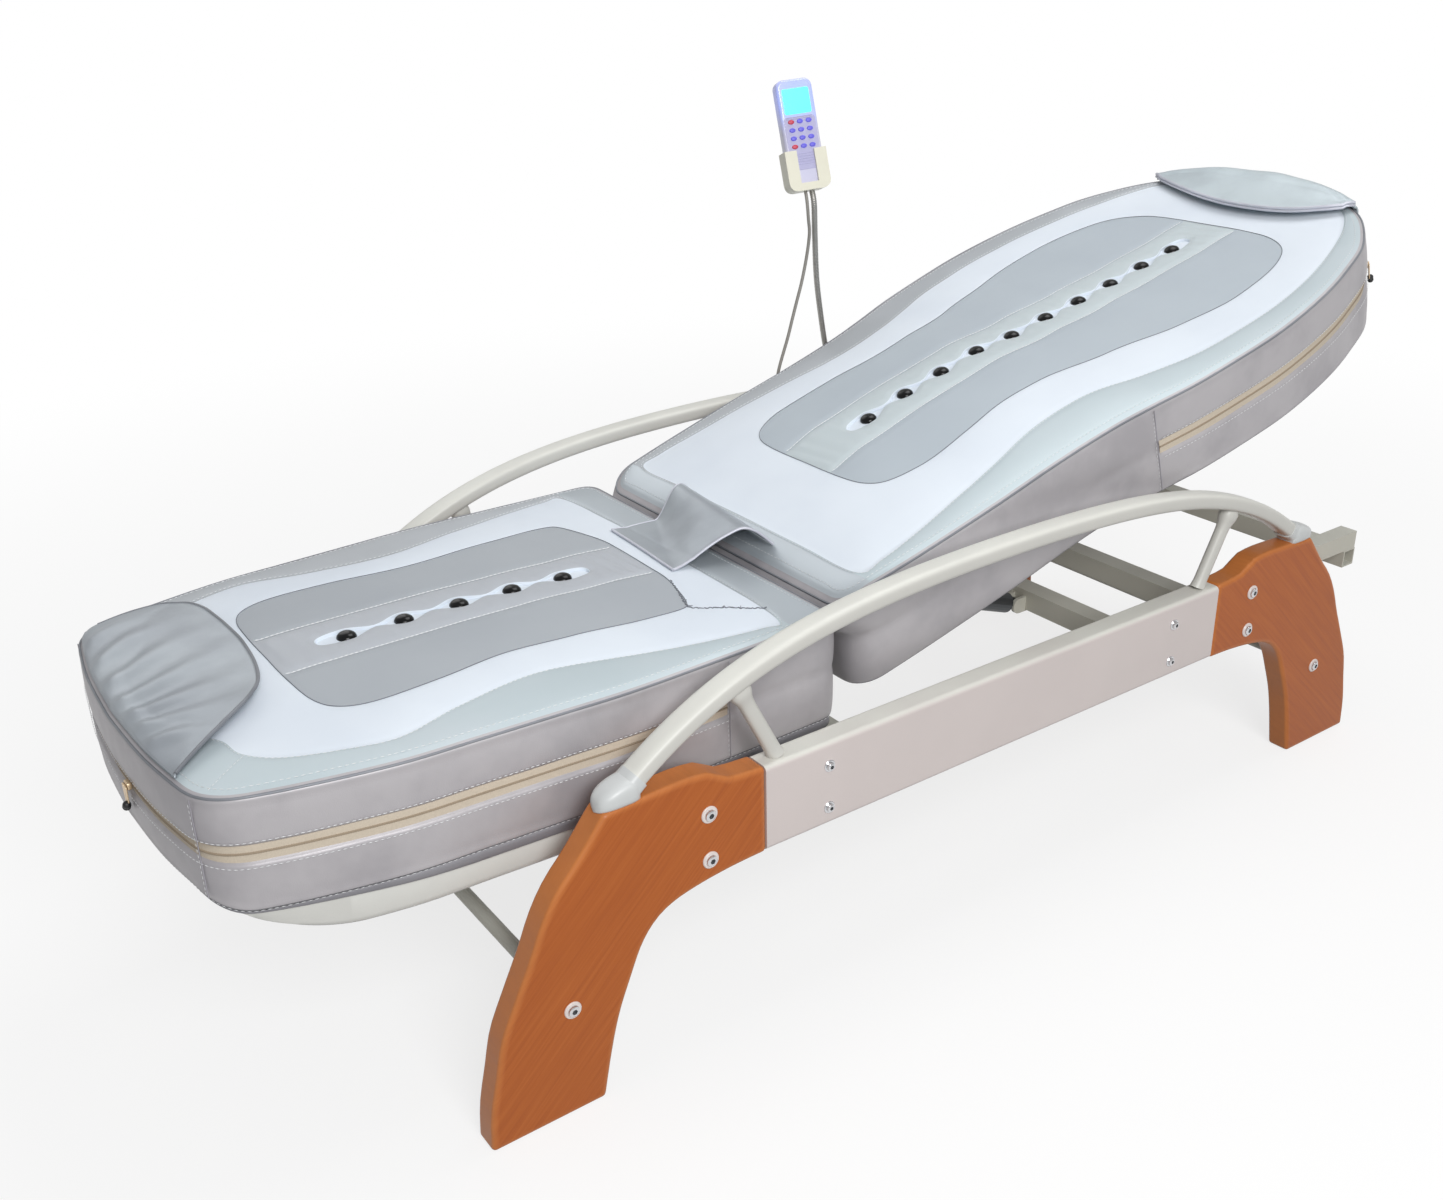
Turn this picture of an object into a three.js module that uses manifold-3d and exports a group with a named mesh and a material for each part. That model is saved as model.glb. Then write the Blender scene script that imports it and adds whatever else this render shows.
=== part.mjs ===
// Adjustable massage bed: a painted rail frame on shaped wooden legs, a level foot mat,
// a head mat that tilts on a hinged base over a travelling massage carriage,
// and a remote control on a bendable arm.
// Millimetres, +Z up. +X points to the head end, +Y to the far side with the remote.

import * as THREE from 'three';
import { mergeVertices } from 'three/addons/utils/BufferGeometryUtils.js';
import Module from 'manifold-3d';

const wasm = await Module();
wasm.setup();

// Clearances
const seatGap = 0.3;
const runGap = 1;
const overrun = 6;

// Frame
const railHalfLength = 428.4;
const railDrop = 26.5;
const railHeight = 120.5;
const railThickness = 38;
const railEdgeRadius = 7;
const frameHalfWidth = 390;
const railBoltX = 329.4;

// Legs
const legThickness = 38;
const legReach = 405.6;
const legCrest = 405;
const railTop = legCrest - railDrop;
const legEdge = 5;
const legBoltX = 513.7;
const stretcherX = 715.3;
const stretcherZ = 154;
const stretcherRadius = 10;
const legCrestShares = [
  [0, 0.938], [0.08, 0.943], [0.127, 0.948], [0.164, 0.968], [0.211, 0.993], [0.302, 1],
];
const legBackShares = [
  [0.551, 1], [0.647, 0.879], [0.723, 0.795], [0.777, 0.709], [0.824, 0.602], [0.874, 0.499],
  [0.933, 0.370], [0.962, 0.249], [0.990, 0.123], [1, 0],
];
const legInnerShares = [
  [0.615, 0], [0.580, 0.163], [0.546, 0.286], [0.502, 0.395], [0.457, 0.494], [0.405, 0.558],
  [0.339, 0.595], [0.240, 0.617], [0.122, 0.630], [0, 0.635],
];

// Handrails
const bowRise = 151.7;
const bowEndRise = 18.2;
const bowHalfSpan = 625;
const bowDropShares = [0.322, 0.6395, 0.0385];
const bowDepth = 25;
const bowWidth = 25;
const bowEndX = 606;
const bowSteps = 20;
const tubeSides = 10;
const strutTopX = 462;
const strutFootX = 400;
const strutWidth = 34;
const strutThickness = 21;
const capLength = 58;
const capHeight = 42;
const capWidth = 36;
const capSocketDepth = 8;
const capEdge = 4;
const capOutlineShares = [
  [0, 0], [1, 0], [1.02, 0.22], [0.97, 0.5], [0.82, 0.76], [0.55, 0.93], [0.2, 1], [0, 1],
];

// Inner steel frame
const tubeSize = 30;
const sideTubeDrop = 56.5;
const sideTubeBottom = railTop - sideTubeDrop;
const sideTubeFootX = 560;
const sideTubeHeadX = 845;
const beamSize = 34;
const beamDrop = 17.3;
const beamTop = sideTubeBottom - beamDrop;
const headCrossX = 770;
const headEndX = 832;
const headEndBore = 25;
const headEndBoreDepth = 40;

// Tilt hinge of the head half
const tiltDegrees = 16.5;
const pivotX = -238;
const pivotRise = 28;
const pivotZ = sideTubeBottom + pivotRise;
const hingeY = 150;
const hingePinRadius = 4;
const hingeLugRadius = 9;
const hingeLugThickness = 6;
const hingeLugSpacing = 22;
const hingeEyeWidth = 12;
const hingeEyeRadius = 8;
const lugSteps = 8;

// Lift cylinders
const liftY = 95;
const liftTailX = 298;
const liftTailDrop = 23.7;
const liftTailZ = beamTop - liftTailDrop;
const liftLugThickness = 6;
const liftLugSpacing = 24;
const liftLugRadius = 13;
const liftPinRadius = 4;
const liftEyeRadius = 10;
const liftEyeWidth = 14;
const barrelRadius = 17;
const barrelWall = 7;
const barrelLength = 205;
const barrelStart = 18;
const rodRadius = 7;
const rodOverlap = 60;
const liftHeadOffsetX = 220;
const liftHeadOffsetZ = -14;
const liftHeadClearance = 5;
const liftHeadEyeRadius = 13.5;

// Mats
const matRise = 4;
const matBottom = pivotZ + matRise;
const matHeight = 146;
const matTop = matBottom + matHeight;
const matRimRadius = 8;
const zipHeight = 77;
const zipDraw = 4;
const lowerFootX = -1080;
const lowerHeadX = -249;
const lowerMatGap = 1.7;
const lowerCornerX = -1054;
const lowerSideShares = [
  [0, 0.79], [0.04, 0.824], [0.126, 0.885], [0.256, 0.949], [0.368, 0.967], [0.49, 0.984],
  [0.62, 1], [0.81, 0.988], [0.985, 0.975],
];
const lowerCrown = 14;
const lowerCrownShares = [0.2, 0.6, 0.95, 1, 1, 0.85, 0.55, 0.3, 0.15];
const upperHingeX = -176;
const upperHeadX = 1089;
const upperMatGap = 2;
const upperHingeLean = 22;
const upperSideShares = [
  [0.03, 0.856], [0.1, 0.872], [0.2, 0.884], [0.3, 0.885], [0.38, 0.9], [0.44, 0.93],
  [0.5, 0.968], [0.57, 0.99], [0.635, 1], [0.7, 0.985], [0.76, 0.952], [0.81, 0.905],
  [0.86, 0.845], [0.905, 0.745], [0.94, 0.635], [0.966, 0.5], [0.985, 0.33], [0.997, 0.15], [1, 0],
];
const upperCrown = 30;
const upperCrownShares = [0.1, 0.45, 0.85, 1, 0.95, 0.5, 0.15, -0.1, -0.3, -0.4, -0.2];
const cornerRadius = 24;
const cornerTurns = [30, 60, 90];
const endShares = [0, 0.33, 0.66];
const padDome = 3;
const channelSpread = 57;
const channelWidth = 7;
const channelDepth = 3;
const channelMargin = 60;
const padRingShares = [0.93, 0.8, 0.55, 0.28];
const padEndDraw = 150;
const trayDrop = 49;
const trayInset = 10;
const trayNoseStartX = -935;
const trayNoseRise = 40;
const trayNoseShare = 0.37;
const boardThickness = 14;
const boardInset = 26;

// Stone strips
const stoneRadius = 19;
const stoneRise = 0.72;
const stripHalfWidth = 27;
const stripDepth = 7;
const stripRise = 1;
const stripMargin = 34;
const lowerStoneFirstX = -787;
const lowerStonePitch = 77;
const lowerStoneCount = 5;
const upperStoneFirstX = 125;
const upperStonePitch = 76.6;
const upperStoneCount = 10;

// Flaps
const flapThickness = 5;
const sheetAcross = 20;
const sheetAlong = 5;
const footFlapSeamX = -1056;
const footFlapSeamShare = 0.7;
const footFlapFreeX = -908;
const footFlapNearY = -190;
const footFlapFarY = 250;
const footFlapReachShares = [0.05, 0.3, 0.62, 0.85, 0.94, 0.97, 1, 1, 0.98, 0.9, 0.55];
const headFlapSeamX = 1078;
const headFlapFreeX = 990;
const headFlapHalfWidth = 205;
const headFlapReachShares = [0.1, 0.55, 0.85, 0.97, 1, 0.97, 0.8, 0.5, 0.1];
const foldCount = 5;
const foldRise = 5;
const waistFlapFootX = -337;
const waistFlapHeadX = -171;
const waistFlapNearY = -63;
const waistFlapFarY = 125;
const waistFlapArch = 14;

// Zip sliders
const sliderLength = 15;
const sliderWidth = 11;
const sliderThickness = 6;
const pullLength = 34;
const pullWidth = 8;
const pullThickness = 2.4;
const footSliderY = -42;
const headSliderBack = 108;
const headSliderX = upperHeadX - headSliderBack;

// Massage carriage inside the head half
const pocketFootX = 30;
const pocketBack = 159;
const pocketHeadX = upperHeadX - pocketBack;
const pocketHalfWidth = 78;
const pocketHeight = 74;
const trackHalfWidth = 70;
const trackBase = 4;
const trackRailWidth = 8;
const trackRailHeight = 20;
const trackFootX = 44;
const trackBack = 14;
const trackHeadX = pocketHeadX - trackBack;
const toothPitch = 15.7;
const toothHeight = 6;
const toothShares = [0.22, 0.38, 0.62, 0.78];
const rackWidth = 12;
const rackY = 38;
const carriageLength = 150;
const carriageTooth = 9;
const carriageHeight = 30;
const carriageWall = 5;
const rollerRadius = 22;
const rollerShaftRadius = 5;
const rollerSpacing = 90;
const rollerDiscY = 24;
const rollerDiscWidth = 22;
const pinionTeeth = 8;
const pinionBacklash = 0.8;
const pinionWidth = 9;
const motorRadius = 14;

// Control box under the foot mat
const controlLength = 96;
const controlWidth = 200;
const controlHeight = 50;
const controlX = -421;
const inletWidth = 28;
const inletHeight = 20;
const inletDepth = 12;

// Remote control
const clampX = 298;
const clampLength = 36;
const clampHeight = 44;
const clampWidth = 35;
const neckRadius = 5;
const neckRib = 0.8;
const neckRibCount = 34;
const neckBaseRise = 14;
const neckSideX = 7;
const neckStraight = 22;
const neckRouteShares = [
  [0, 0, 0], [0.06, 0.01, 0.06], [0.24, 0.06, 0.19], [0.44, 0.2, 0.39],
  [0.65, 0.42, 0.6], [0.84, 0.72, 0.82], [1, 1, 1],
];
const handsetWidth = 62;
const handsetThickness = 24;
const handsetTop = 79;
const handsetBottom = 92;
const handsetCorner = 13;
const handsetEdge = 4;
const handsetX = 197;
const handsetY = 345;
const handsetRise = 593;
const handsetZ = legCrest + handsetRise;
const handsetYaw = -20;
const handsetPitch = -16.9;
const handsetRoll = -4.7;
const holderWall = 4;
const holderHeight = 64;
const holderNotch = 30;
const holderFloor = 5;
const screenHeight = 34;
const screenWidth = 44;
const screenTop = 62;
const screenThickness = 1.6;
const keyColumns = 3;
const keyRows = 4;
const keyPitchX = 15;
const keyPitchZ = 13;
const keyTop = 12;
const keyLength = 11;
const keyHeight = 7.5;
const keyRise = 1.6;
const keySink = 3;
const cordRadius = 2.8;
const glandRadius = 7;
const glandHeight = 12;
const glandX = 131;

// Small bodies from three.js shapes

function bare(geometry) {
  geometry.deleteAttribute('normal');
  geometry.deleteAttribute('uv');
  return mergeVertices(geometry, 1e-4);
}

function outward(geometry) {
  const position = geometry.attributes.position;
  const index = geometry.index.array;
  const [a, b, c] = [new THREE.Vector3(), new THREE.Vector3(), new THREE.Vector3()];
  let volume = 0;
  for (let i = 0; i < index.length; i += 3) {
    a.fromBufferAttribute(position, index[i]);
    b.fromBufferAttribute(position, index[i + 1]);
    c.fromBufferAttribute(position, index[i + 2]);
    volume += a.dot(b.cross(c));
  }
  if (volume < 0) {
    for (let i = 0; i < index.length; i += 3) {
      [index[i + 1], index[i + 2]] = [index[i + 2], index[i + 1]];
    }
  }
  return geometry;
}

function toSolid(geometry) {
  const merged = outward(bare(geometry.clone()));
  const mesh = new wasm.Mesh({
    numProp: 3,
    vertProperties: new Float32Array(merged.attributes.position.array),
    triVerts: new Uint32Array(merged.index.array),
  });
  return new wasm.Manifold(mesh);
}

function toGeometry(solid) {
  const mesh = solid.getMesh();
  const geometry = new THREE.BufferGeometry();
  geometry.setAttribute('position', new THREE.Float32BufferAttribute(mesh.vertProperties, 3));
  geometry.setIndex(Array.from(mesh.triVerts));
  return geometry;
}

function join(...geometries) {
  return toGeometry(geometries.map(toSolid).reduce((all, next) => all.add(next)));
}

function cut(geometry, ...tools) {
  return toGeometry(tools.map(toSolid).reduce((left, tool) => left.subtract(tool), toSolid(geometry)));
}

function common(first, second) {
  return toGeometry(toSolid(first).intersect(toSolid(second)));
}

function block(xRange, yRange, zRange) {
  const [length, width, height] = [xRange, yRange, zRange].map(([low, high]) => high - low);
  const geometry = new THREE.BoxGeometry(length, width, height);
  geometry.translate(xRange[0] + length / 2, yRange[0] + width / 2, zRange[0] + height / 2);
  return geometry;
}

function around(centre, size) {
  return [centre - size / 2, centre + size / 2];
}

function rod(radius, start, end, sides = 16) {
  const from = new THREE.Vector3(...start);
  const to = new THREE.Vector3(...end);
  const geometry = new THREE.CylinderGeometry(radius, radius, from.distanceTo(to), sides);
  const direction = to.clone().sub(from).normalize();
  geometry.applyQuaternion(new THREE.Quaternion().setFromUnitVectors(new THREE.Vector3(0, 1, 0), direction));
  geometry.translate(...from.add(to).multiplyScalar(0.5).toArray());
  return geometry;
}

// A flat outline in X and Z, given thickness along Y, with its edges rounded inside the outline.
function plate(outline, yRange, edge = 0) {
  const shape = new THREE.Shape(outline.map(([x, z]) => new THREE.Vector2(x, z)));
  const depth = yRange[1] - yRange[0] - 2 * edge;
  const geometry = new THREE.ExtrudeGeometry(shape, {
    depth,
    steps: 1,
    bevelEnabled: edge > 0,
    bevelThickness: edge,
    bevelSize: edge,
    bevelOffset: -edge,
    bevelSegments: 1,
  });
  geometry.translate(0, 0, edge);
  geometry.rotateX(Math.PI / 2);
  geometry.translate(0, yRange[1], 0);
  return geometry;
}

// A plan outline in X and Y, raised between two heights.
function slab(outline, zRange) {
  const shape = new THREE.Shape(outline.map(([x, y]) => new THREE.Vector2(x, y)));
  const geometry = new THREE.ExtrudeGeometry(shape, {
    depth: zRange[1] - zRange[0],
    steps: 1,
    bevelEnabled: false,
  });
  geometry.translate(0, 0, zRange[0]);
  return geometry;
}

// Closed body through rings of equally many points. The first and last rings are closed flat.
function loft(rings) {
  const count = rings[0].length;
  const points = rings.flat();
  const faces = [];
  for (let ring = 0; ring < rings.length - 1; ring++) {
    for (let i = 0; i < count; i++) {
      const next = (i + 1) % count;
      const [a, b] = [ring * count + i, ring * count + next];
      faces.push(a, b, b + count, a, b + count, a + count);
    }
  }
  capRing(rings[0], 0, true, faces);
  capRing(rings[rings.length - 1], (rings.length - 1) * count, false, faces);
  const geometry = new THREE.BufferGeometry();
  const positions = points.flatMap((point) => point.toArray());
  geometry.setAttribute('position', new THREE.Float32BufferAttribute(positions, 3));
  geometry.setIndex(faces);
  return outward(geometry);
}

function capRing(ring, offset, reversed, faces) {
  const normal = new THREE.Vector3();
  ring.forEach((point, i) => normal.add(point.clone().cross(ring[(i + 1) % ring.length])));
  const size = normal.toArray().map(Math.abs);
  const drop = size.indexOf(Math.max(...size));
  const keep = [0, 1, 2].filter((axis) => axis !== drop);
  const flat = ring.map((point) => {
    const values = point.toArray();
    return new THREE.Vector2(values[keep[0]], values[keep[1]]);
  });
  const clockwise = THREE.ShapeUtils.isClockWise(flat);
  THREE.ShapeUtils.triangulateShape(flat, []).forEach(([a, b, c]) => {
    const forward = clockwise === reversed;
    faces.push(...(forward ? [a, b, c] : [a, c, b]).map((i) => i + offset));
  });
}

// Section of a flat-oval tube: a rounded rectangle between an ellipse and a box.
function ovalSection(width, height, sides, squareness = 0.8) {
  return Array.from({ length: sides }, (_, i) => {
    const angle = ((i + 0.5) / sides) * 2 * Math.PI;
    const [c, s] = [Math.cos(angle), Math.sin(angle)];
    const shape = (value) => Math.sign(value) * Math.abs(value) ** squareness;
    return [shape(c) * width / 2, shape(s) * height / 2];
  });
}

// Carries a section along points in an XZ plane: the section's first axis lies across the path
// in that plane and its second axis along Y.
function sweepXZ(path, section, y) {
  return loft(path.map(([x, z], i) => {
    const before = path[Math.max(i - 1, 0)];
    const after = path[Math.min(i + 1, path.length - 1)];
    const length = Math.hypot(after[0] - before[0], after[1] - before[1]);
    const [tx, tz] = [(after[0] - before[0]) / length, (after[1] - before[1]) / length];
    return section.map(([across, side]) => (
      new THREE.Vector3(x - tz * across, y + side, z + tx * across)));
  }));
}

function spline(points, count) {
  const curve = new THREE.SplineCurve(points.map(([x, y]) => new THREE.Vector2(x, y)));
  return curve.getPoints(count).map((point) => [point.x, point.y]);
}

function table(shares, t) {
  const place = Math.min(Math.max(t, 0), 1) * (shares.length - 1);
  const low = Math.min(Math.floor(place), shares.length - 2);
  const part = place - low;
  const blend = part * part * (3 - 2 * part);
  return shares[low] + (shares[low + 1] - shares[low]) * blend;
}

// Named meshes

function finish(color, roughness, metalness = 0, opacity = 1) {
  return () => new THREE.MeshStandardMaterial({
    color, roughness, metalness, opacity, transparent: opacity < 1,
  });
}

const paint = finish(0xdcdad6, 0.45);
const steel = finish(0xb9bcc0, 0.35, 0.9);
const darkSteel = finish(0x55575a, 0.5, 0.7);
const wood = finish(0xb06a34, 0.5);
const whitePlastic = finish(0xf0f0ee, 0.4);
const silverLeather = finish(0xb4b4c0, 0.45, 0.2);
const paleTray = finish(0xd9dde2, 0.5);
const paleCloth = finish(0xd4d9e2, 0.85);
const stone = finish(0x15151a, 0.15);
const board = finish(0xb08d62, 0.8);
const zipMetal = finish(0xcab98e, 0.4, 0.6);
const blackPlastic = finish(0x222226, 0.5);
const cream = finish(0xe6dcc2, 0.5);
const lavender = finish(0xc6bede, 0.35);
const screenBlue = finish(0x67d3e6, 0.2);
const keyViolet = finish(0x6a62c8, 0.4);
const cordGrey = finish(0xd8d4cc, 0.6);

function piece(name, geometry, material) {
  const mesh = new THREE.Mesh(geometry, material());
  mesh.name = name;
  return mesh;
}

const sides = [['near', -1], ['far', 1]];

// Frame

function rail(side) {
  const yInner = frameHalfWidth - railThickness;
  const section = roundedRectangle(railThickness, railHeight, railEdgeRadius);
  const yMiddle = side * (yInner + railThickness / 2);
  const zMiddle = railTop - railHeight / 2;
  const rings = [-railHalfLength, railHalfLength].map((x) => (
    section.map(([y, z]) => new THREE.Vector3(x, yMiddle + y, zMiddle + z))));
  return loft(rings);
}

function roundedRectangle(width, height, radius, steps = 3) {
  const points = [];
  [[1, 1], [-1, 1], [-1, -1], [1, -1]].forEach(([sx, sy], corner) => {
    for (let i = 0; i <= steps; i++) {
      const angle = (corner + i / steps) * Math.PI / 2;
      points.push([
        sx * (width / 2 - radius) + radius * Math.cos(angle),
        sy * (height / 2 - radius) + radius * Math.sin(angle),
      ]);
    }
  });
  return points;
}

function leg(end, side) {
  const place = ([u, w]) => [end * (railHalfLength + seatGap + u * legReach), w * legCrest];
  const outline = [
    ...spline(legCrestShares.map(place), 8),
    ...spline(legBackShares.map(place), 13),
    ...spline(legInnerShares.map(place), 13),
  ];
  const range = [frameHalfWidth - legThickness, frameHalfWidth];
  const yRange = side > 0 ? range : [-range[1], -range[0]];
  return plate(outline, yRange, legEdge);
}

const bowCentreY = frameHalfWidth - railThickness / 2;

function bowFall(x) {
  const q2 = (x / bowHalfSpan) ** 2;
  const [second, fourth, sixth] = bowDropShares;
  return second * q2 + fourth * q2 ** 2 + sixth * q2 ** 3;
}

// Height of the bow's middle line. Its ends come down into the caps on the legs.
function bowCentre(x) {
  return legCrest + bowRise - (bowRise - bowEndRise) * bowFall(x) / bowFall(bowEndX);
}

function bowPath(reach, count) {
  return Array.from({ length: count + 1 }, (_, i) => {
    const x = reach * Math.sin((i / count - 0.5) * Math.PI);
    return [x, bowCentre(x)];
  });
}

function handrail(side) {
  const y = side * bowCentreY;
  const bow = sweepXZ(bowPath(bowEndX, bowSteps), ovalSection(bowDepth, bowWidth, tubeSides), y);
  const strutSection = ovalSection(strutWidth, strutThickness, tubeSides);
  const struts = [-1, 1].map((end) => {
    const top = [end * strutTopX, bowCentre(strutTopX)];
    const foot = [end * strutFootX, railTop + seatGap];
    const lean = (top[0] - foot[0]) / (top[1] - foot[1]);
    const start = [foot[0] - lean * overrun * 2, foot[1] - overrun * 2];
    const raw = sweepXZ([start, top], strutSection, y);
    const below = block(
      around(foot[0], 4 * strutWidth), around(y, 2 * strutWidth), [foot[1] - 4 * overrun, foot[1]]);
    return cut(raw, below);
  });
  return join(bow, ...struts);
}

function railCap(end, side) {
  const y = side * bowCentreY;
  const startX = bowEndX - capSocketDepth;
  const bottom = legCrest + seatGap;
  const outline = capOutlineShares.map(([u, w]) => [end * (startX + u * capLength), bottom + w * capHeight]);
  const body = plate(outline, around(y, capWidth), capEdge);
  const socket = sweepXZ(
    bowPath(bowEndX + seatGap, bowSteps),
    ovalSection(bowDepth + 2 * seatGap, bowWidth + 2 * seatGap, tubeSides),
    y,
  );
  return cut(body, socket);
}

function stretcher(end) {
  const reach = frameHalfWidth - legThickness - seatGap;
  const [near, far] = [-reach, reach].map((y) => [end * stretcherX, y, stretcherZ]);
  return rod(stretcherRadius, near, far, 20);
}

const sideTubeOuter = frameHalfWidth - Math.max(railThickness, legThickness) - seatGap;
const sideTubeInner = sideTubeOuter - tubeSize;
const sideTubeTop = sideTubeBottom + tubeSize;
const lowerHalfWidth = sideTubeInner - lowerMatGap;
const upperHalfWidth = frameHalfWidth - legThickness - upperMatGap;

function sideTube(side) {
  const yRange = side > 0 ? [sideTubeInner, sideTubeOuter] : [-sideTubeOuter, -sideTubeInner];
  const tube = block([-sideTubeFootX, sideTubeHeadX], yRange, [sideTubeBottom, sideTubeTop]);
  if (side < 0) {
    return tube;
  }
  const glandY = (sideTubeInner + sideTubeOuter) / 2;
  const low = [glandX, glandY, sideTubeTop - overrun];
  const high = [glandX, glandY, sideTubeTop + glandHeight];
  return join(tube, rod(glandRadius, low, high, 12));
}

function crossBeam(x, halfWidth) {
  return block(around(x, beamSize), [-halfWidth, halfWidth], [beamTop - beamSize, beamTop]);
}

const railBeamHalf = frameHalfWidth - railThickness - seatGap;
const legBeamHalf = frameHalfWidth - legThickness - seatGap;

// Half circle of points about a centre, from a starting turn.
function halfCircle(x, z, radius, start) {
  return Array.from({ length: lugSteps + 1 }, (_, i) => {
    const angle = start + Math.PI * i / lugSteps;
    return [x + radius * Math.cos(angle), z + radius * Math.sin(angle)];
  });
}

function hingeLug(y, rootZ) {
  const outline = [
    ...halfCircle(pivotX, pivotZ, hingeLugRadius, 0),
    [pivotX - hingeLugRadius, rootZ],
    [pivotX + hingeLugRadius, rootZ],
  ];
  return plate(outline, around(y, hingeLugThickness));
}

function hingeBearer() {
  const top = sideTubeBottom - seatGap;
  const tube = block(around(pivotX, tubeSize), [-sideTubeOuter, sideTubeOuter], [top - tubeSize, top]);
  const parts = [tube];
  sides.forEach(([, side]) => {
    const y = side * hingeY;
    const gauge = hingeLugSpacing / 2;
    [-1, 1].forEach((cheek) => parts.push(hingeLug(y + cheek * gauge, top - overrun)));
    parts.push(rod(hingePinRadius, [pivotX, y - gauge, pivotZ], [pivotX, y + gauge, pivotZ], 12));
  });
  return join(...parts);
}

function liftBeam() {
  const parts = [crossBeam(railBoltX, railBeamHalf)];
  const face = railBoltX - beamSize / 2 + overrun;
  sides.forEach(([, side]) => {
    const y = side * liftY;
    const gauge = liftLugSpacing / 2;
    [-1, 1].forEach((cheek) => {
      const outline = [
        ...halfCircle(liftTailX, liftTailZ, liftLugRadius, Math.PI / 2),
        [face, liftTailZ - liftLugRadius],
        [face, liftTailZ + liftLugRadius],
      ];
      parts.push(plate(outline, around(y + cheek * gauge, liftLugThickness)));
    });
    parts.push(rod(liftPinRadius, [liftTailX, y - gauge, liftTailZ], [liftTailX, y + gauge, liftTailZ], 12));
  });
  return join(...parts);
}

function headCrossTube() {
  const reach = sideTubeInner - seatGap;
  return block(around(headCrossX, tubeSize), [-reach, reach], [sideTubeBottom, sideTubeTop]);
}

function headEndTube() {
  const top = sideTubeBottom - seatGap;
  const zRange = [top - tubeSize, top];
  const tube = block(around(headEndX, tubeSize), [-sideTubeOuter, sideTubeOuter], zRange);
  const middle = top - tubeSize / 2;
  const bores = [-1, 1].map((side) => block(
    around(headEndX, headEndBore),
    around(side * sideTubeOuter, 2 * headEndBoreDepth),
    around(middle, headEndBore)));
  return cut(tube, ...bores);
}

// Mat outlines: half outlines run from the middle of the foot end to the middle of the head end.

function mirrored(half) {
  const far = half.slice(1, -1).reverse().map(([x, y]) => [x, -y]);
  return [...half, ...far];
}

function lowerHalfOutline() {
  const sideLength = lowerHeadX - cornerRadius / 2 - lowerCornerX;
  const place = ([u, w]) => [lowerCornerX + u * sideLength, w * lowerHalfWidth];
  const side = spline(lowerSideShares.map(place), 13);
  const cornerY = side[0][1];
  const quarterX = lowerFootX + (lowerCornerX - lowerFootX) / 4;
  const bow = spline([[lowerFootX, 0], [quarterX, cornerY / 2], side[0]], 6);
  const last = side[side.length - 1];
  const radius = lowerHeadX - last[0];
  const corner = cornerTurns.map((degrees) => {
    const angle = THREE.MathUtils.degToRad(degrees);
    return [last[0] + radius * Math.sin(angle), last[1] - radius * (1 - Math.cos(angle))];
  });
  const headY = corner[corner.length - 1][1];
  const head = endShares.map((share) => [lowerHeadX, headY * share]).reverse();
  return [...bow.slice(0, -1), ...side, ...corner, ...head];
}

function upperHalfOutline() {
  const length = upperHeadX - upperHingeX;
  const place = ([u, w]) => [upperHingeX + u * length, w * upperHalfWidth];
  const side = spline(upperSideShares.map(place), 27);
  const cornerY = side[0][1];
  const radius = side[0][0] - upperHingeX;
  const corner = cornerTurns.map((degrees) => {
    const angle = THREE.MathUtils.degToRad(degrees);
    return [upperHingeX + radius * (1 - Math.sin(angle)), cornerY - radius * (1 - Math.cos(angle))];
  }).reverse();
  const hinge = endShares.map((share) => [upperHingeX, corner[0][1] * share]);
  return [...hinge, ...corner, ...side];
}

function inset(outline, distance) {
  return outline.map(([x, y], i) => {
    const [x0, y0] = outline[(i + outline.length - 1) % outline.length];
    const [x1, y1] = outline[(i + 1) % outline.length];
    const length = Math.hypot(x1 - x0, y1 - y0);
    return [x - distance * (y0 - y1) / length, y - distance * (x1 - x0) / length];
  });
}

function drawnToward(outline, share, footX, headX) {
  return outline.map(([x, y]) => {
    const footNear = Math.max(0, 1 - (x - footX) / (2 * padEndDraw));
    const headNear = Math.max(0, 1 - (headX - x) / (2 * padEndDraw));
    const draw = padEndDraw * (1 - share);
    return [x + draw * (footNear - headNear), y * share];
  });
}

// A padded mat: flat base, drawn-in zip line round its side, rounded rim and crowned top.
function mat(half, crown, crownShares, footX, headX, lean) {
  const outline = mirrored(half);
  const height = matTop - matBottom;
  const zip = matTop - zipHeight;
  const levels = [
    [matRimRadius, matBottom], [0, matBottom + matRimRadius], [zipDraw / 2, (zip + matBottom) / 2],
    [zipDraw, zip], [zipDraw / 2, (zip + matTop) / 2], [0, matTop - matRimRadius],
    [matRimRadius / 2, matTop],
  ];
  const leaned = (x, z) => x - lean * Math.max(0, 1 - (x - footX) / padEndDraw) * (matTop - z) / height;
  const rings = levels.map(([distance, z]) => (
    inset(outline, distance).map(([x, y]) => new THREE.Vector3(leaned(x, z), y, z))));
  const rim = inset(outline, matRimRadius);
  padRingShares.forEach((share) => {
    rings.push(drawnToward(rim, share, footX, headX).map(([x, y]) => (
      new THREE.Vector3(x, y, crownHeight(x, share, crown, crownShares, footX, headX)))));
  });
  return loft(rings);
}

function crownHeight(x, share, crown, crownShares, footX, headX) {
  const along = table(crownShares, (x - footX) / (headX - footX));
  return matTop + padDome * (1 - share) + crown * along * (1 - share ** 2);
}

// Grooves along a mat's two sewn channels, on either side of its stones.
function channelCuts(first, pitch, count, height) {
  const xRange = [first - channelMargin, first + pitch * (count - 1) + channelMargin];
  return [-1, 1].map((side) => {
    const strip = crownStrip(xRange, channelWidth / 2, channelDepth, overrun, height);
    return strip.translate(0, side * channelSpread, 0);
  });
}

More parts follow.
